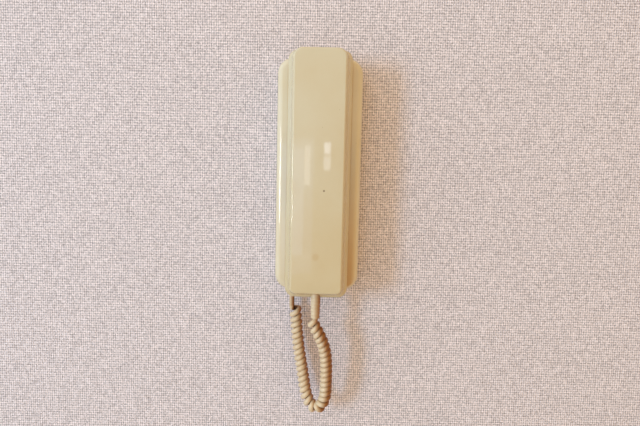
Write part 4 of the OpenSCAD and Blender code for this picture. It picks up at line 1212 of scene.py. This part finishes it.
# %% Finishes of the inner pieces
board_laminate = plastic("board_laminate", shade(160, 118, 66), shade(134, 92, 46), 0.8, 0.4,
                         mottle=260.0, bump=0.6)
capacitor_sleeve = plastic("capacitor_sleeve", shade(34, 44, 92), shade(26, 34, 74), 0.4, 0.28, specks=0.0)
capsule_plastic = plastic("capsule_plastic", shade(74, 74, 78), shade(60, 58, 60), 0.5, 0.45, specks=0.0)
black_rubber = plastic("black_rubber", shade(34, 33, 32), shade(44, 42, 40), 0.6, 0.7,
                       specks=0.0, bump=0.8, mottle=90.0)
speaker_paper = plastic("speaker_paper", shade(48, 44, 40), shade(64, 58, 50), 0.6, 0.9,
                        specks=0.0, bump=0.9, mottle=400.0)
resistor_body = plastic("resistor_body", shade(196, 166, 118), shade(176, 144, 98), 0.4, 0.3, specks=0.0)
lead_vinyl = plastic("lead_vinyl", shade(186, 48, 40), shade(160, 40, 34), 0.3, 0.4, specks=0.0)
print("materials so far:", len(bpy.data.materials))

# %% Bands of colour
CLEAR = (0, 0, 0, 0)
TIN, BROWN, BLACK, RED, GOLD = (shade(*colour) for colour in (
    (180, 180, 176), (120, 66, 30), (30, 28, 28), (176, 40, 30), (190, 150, 60)))
RESISTOR_ENDS, LEAD_ENDS = (-84.6, -75.3), (-60, 60)


def banded(material, stops, ends, axis):
    """Paints bands along an axis over a finished plastic, between two places in millimetres."""
    tree = material.node_tree
    shader = next(node for node in tree.nodes if node.type == "BSDF_PRINCIPLED")
    along = ramped(tree, split(tree, object_place(tree))[axis], ends)
    ramp = add_node(tree, "ShaderNodeValToRGB", {"Fac": along})
    ramp.color_ramp.interpolation = "CONSTANT"
    marks = ramp.color_ramp.elements
    marks.remove(marks[1])
    marks[0].position, marks[0].color = stops[0]
    for position, colour in stops[1:]:
        marks.new(position).color = colour
    plain = shader.inputs["Base Color"].links[0].from_socket
    painted = blend_colour(tree, ramp.outputs["Alpha"], plain, ramp.outputs["Color"])
    tree.links.new(painted, shader.inputs["Base Color"])


banded(resistor_body, [
    (0.0, TIN), (0.17, CLEAR), (0.3, BROWN), (0.38, CLEAR), (0.44, BLACK), (0.52, CLEAR), (0.58, RED),
    (0.66, CLEAR), (0.76, GOLD), (0.83, CLEAR), (0.85, TIN)], RESISTOR_ENDS, "Z")
banded(lead_vinyl, [(0.0, CLEAR), (0.55, shade(46, 76, 156))], LEAD_ENDS, "X")
print("banded:", resistor_body.name, "and", lead_vinyl.name)

# %% Hand out the finishes
kept_nodes = {
    board_laminate: ["circuit_board"],
    core_iron: ["transformer_core", "speaker_magnet", "handset_weight"],
    winding_copper: ["transformer_winding"],
    capacitor_sleeve: ["capacitors"],
    resistor_body: ["resistors"],
    speaker_steel: ["speaker_frame", "microphone"],
    speaker_paper: ["speaker_cone"],
    zinc_steel: ["terminal_screws", "hook_pin", "hook_spring", "volume_potentiometer"],
    black_plastic: ["signal_chip", "hook_switch", "button_switch"],
    capsule_plastic: ["receiver_capsule"],
    black_rubber: ["receiver_gasket", "microphone_boot"],
    lead_vinyl: ["base_leads", "handset_leads"],
}
for finish, names in kept_nodes.items():
    for name in names:
        for material_slot in nodes[name].material_slots:
            material_slot.material = finish
print("kept CAD pieces:", sum(len(names) for names in kept_nodes.values()))

# %% [markdown]
# ## Wall, floor and light
# The object is shown on a pale woven wall over a pale floor. The weave is two crossing sets of
# bands with one random value per crossing. The wall is clear from behind, and it has an opening
# behind the base, so that the back plate is lit and can be looked at too.
#
# A narrow cool window at the left gives the sharp shadow, and a strip beside it that only glossy
# surfaces see draws the bright lines on the rounded edges. The room itself is brighter and cooler
# on the window's side and warm on the other, which is a blend across the world. Three dim panes
# stand behind the camera, because a glossy face only looks glossy when it has something to mirror.
# Two wider ones beside them, which only glossy surfaces see, lay a faint, cool haze over the left
# half of the face.

# %% Woven wall
THREAD_CELL = (1.25 * MM, 1.0, 1.4 * MM)
THREAD_BANDS = (("X", 2.3), ("Z", 2.6))
BAND_SHARE, CROSSING_LOW, THREAD_LEVEL = 0.8, 0.32, 0.625
THREAD_WAVER, WAVER_SCALE, THREAD_BUMP = 1.5, 5.0, 0.2


def thread_height(tree, here):
    """How high the woven wall stands: a random value for each crossing and two sets of bands."""
    crossing = add_node(tree, "ShaderNodeVectorMath", {0: here, 1: THREAD_CELL}, operation="SNAP").outputs[0]
    raised = add_node(tree, "ShaderNodeTexWhiteNoise", {
        "Vector": crossing}, noise_dimensions="3D").outputs["Value"]
    threads = arithmetic(tree, "MULTIPLY_ADD", raised, 1.0, CROSSING_LOW)
    for axis, pitch in THREAD_BANDS:
        band = add_node(tree, "ShaderNodeTexWave", {
            "Vector": here, "Scale": wave_scale(pitch), "Distortion": THREAD_WAVER,
            "Detail Scale": WAVER_SCALE}, bands_direction=axis).outputs["Fac"]
        threads = add_up(tree, threads, multiply(tree, band, BAND_SHARE))
    return threads


def seen_through(tree, opening):
    """Is 1 from behind and inside an opening, which is given as half a width and half a height."""
    at_x, _, at_z = (arithmetic(tree, "ABSOLUTE", value) for value in split(tree, object_place(tree)))
    in_opening = multiply(tree, arithmetic(tree, "LESS_THAN", at_x, opening[0] * MM),
                          arithmetic(tree, "LESS_THAN", at_z, opening[1] * MM))
    behind = add_node(tree, "ShaderNodeNewGeometry").outputs["Backfacing"]
    return arithmetic(tree, "MAXIMUM", behind, in_opening)


def stage_plane(name, corners, colour, weave=0.0, opening=(0, 0)):
    """A flat sheet of stage that can be woven and can have an opening behind the base."""
    material, tree = blank_material(name)
    threads = thread_height(tree, object_place(tree))
    grey = add_node(tree, "ShaderNodeCombineColor", dict.fromkeys(
        ("Red", "Green", "Blue"), multiply(tree, threads, THREAD_LEVEL))).outputs[0]
    tint = blend_colour(tree, weave, (1, 1, 1, 1), grey)
    woven = blend_colour(tree, 1.0, colour, tint, "MULTIPLY")
    bump = add_node(tree, "ShaderNodeBump", {
        "Height": threads, "Strength": THREAD_BUMP, "Distance": MM}).outputs[0]
    paint = add_node(tree, "ShaderNodeBsdfDiffuse", {"Color": woven, "Normal": bump}).outputs[0]
    clear = add_node(tree, "ShaderNodeBsdfTransparent").outputs[0]
    either = add_node(tree, "ShaderNodeMixShader", {
        0: seen_through(tree, opening), 1: paint, 2: clear}).outputs[0]
    add_node(tree, "ShaderNodeOutputMaterial", {"Surface": either})
    mesh = bpy.data.meshes.new(name)
    mesh.from_pydata(corners, [], [(0, 1, 2, 3)])
    mesh.materials.append(material)
    add_object(name, mesh)

# %% Wall and floor
WALL_BACK, WALL_TOP, FLOOR_LEVEL, FLOOR_FRONT, HALF_WIDTH = 0.0004, 1.4, -0.9, -3, 2
WALL_WEAVE, BEHIND_BASE = 0.8, (39, 104)
foot_left, foot_right = (-HALF_WIDTH, WALL_BACK, FLOOR_LEVEL), (HALF_WIDTH, WALL_BACK, FLOOR_LEVEL)
top_right, top_left = (HALF_WIDTH, WALL_BACK, WALL_TOP), (-HALF_WIDTH, WALL_BACK, WALL_TOP)
near_left, near_right = (-HALF_WIDTH, FLOOR_FRONT, FLOOR_LEVEL), (HALF_WIDTH, FLOOR_FRONT, FLOOR_LEVEL)
stage_plane("wall", [foot_left, foot_right, top_right, top_left], shade(211, 197, 194),
            WALL_WEAVE, BEHIND_BASE)
stage_plane("floor", [near_left, near_right, foot_right, foot_left], shade(222, 216, 210))
print("wall and floor:", 2 * HALF_WIDTH, "m wide")

# %% Light
WINDOW_BLUE, STRIP_WHITE, HAZE_BLUE = (0.29, 0.62, 1.0), (0.9, 0.96, 1.0), (0.44, 0.65, 1.0)
MIDDLE = (0, 0, 0)


def area_light(name, at, aim, width, height, power, colour=(1, 1, 1)):
    data = bpy.data.lights.new(name, "AREA")
    data.shape = "RECTANGLE"
    data.size, data.size_y = width, height
    data.energy = power
    data.color = colour
    light = add_object(name, data)
    light.location = at
    light.rotation_mode = "QUATERNION"
    light.rotation_quaternion = (Vector(aim) - Vector(at)).to_track_quat("-Z", "Y")
    return light


def pane(name, x, z, width, height, power, colour=(1, 1, 1), y=-3):
    """A dim lamp behind the camera that faces the wall squarely, for glossy faces to mirror."""
    return area_light(name, (x, y, z), (x, 0, z), width, height, power, colour)


window = area_light("window_left", (-1.53, -1.58, 0.15), MIDDLE, 0.32, 0.7, 20, WINDOW_BLUE)
window.visible_glossy = False
strip = area_light("window_strip", (-1.55, -1.55, -0.045), MIDDLE, 0.14, 0.48, 15, STRIP_WHITE)
pane("pane_upper", 0.1, 0.142, 0.103, 0.08, 0.125, (0.79, 0.86, 1.0))
pane("pane_lower", 0.103, 0.04, 0.107, 0.094, 0.1, (0.77, 0.87, 1.0))
pane("pane_far", -0.192, 0.022, 0.083, 0.265, 0.13)
haze_wide = pane("haze_wide", -0.43, -0.27, 0.66, 0.95, 1.6, HAZE_BLUE, -3.01)
haze_left = pane("haze_left", -0.5, -0.23, 0.52, 0.74, 1.25, HAZE_BLUE, -3.02)
for glossy_only in (strip, haze_wide, haze_left):
    glossy_only.visible_diffuse = False

# %% Room
WARM_SIDE, COOL_SIDE, ROOM_LEVEL = (0.69, 0.49, 0.24, 1), (1.1, 1.19, 1.26, 1), 1.21
COOL_FROM, COOL_FULL = -0.35, 0.8
SEEN_ROOM = (0.86, 0.85, 0.84, 1)

world = bpy.data.worlds.new("room")
bpy.context.scene.world = world
world.use_nodes = True
sky = world.node_tree
sky.nodes.clear()
incoming = add_node(sky, "ShaderNodeNewGeometry").outputs["Incoming"]
left_share = remap(sky, split(sky, incoming)["X"], COOL_FROM, COOL_FULL)
room_colour = blend_colour(sky, left_share, WARM_SIDE, COOL_SIDE)
seen = add_node(sky, "ShaderNodeLightPath").outputs["Is Camera Ray"]
air = add_node(sky, "ShaderNodeBackground", {"Color": room_colour, "Strength": ROOM_LEVEL}).outputs[0]
backdrop = add_node(sky, "ShaderNodeBackground", {"Color": SEEN_ROOM, "Strength": 1.0}).outputs[0]
mixed = add_node(sky, "ShaderNodeMixShader", {0: seen, 1: air, 2: backdrop}).outputs[0]
add_node(sky, "ShaderNodeOutputWorld", {"Surface": mixed})
bpy.context.scene.view_settings.view_transform = "Standard"
print("room strength:", ROOM_LEVEL)
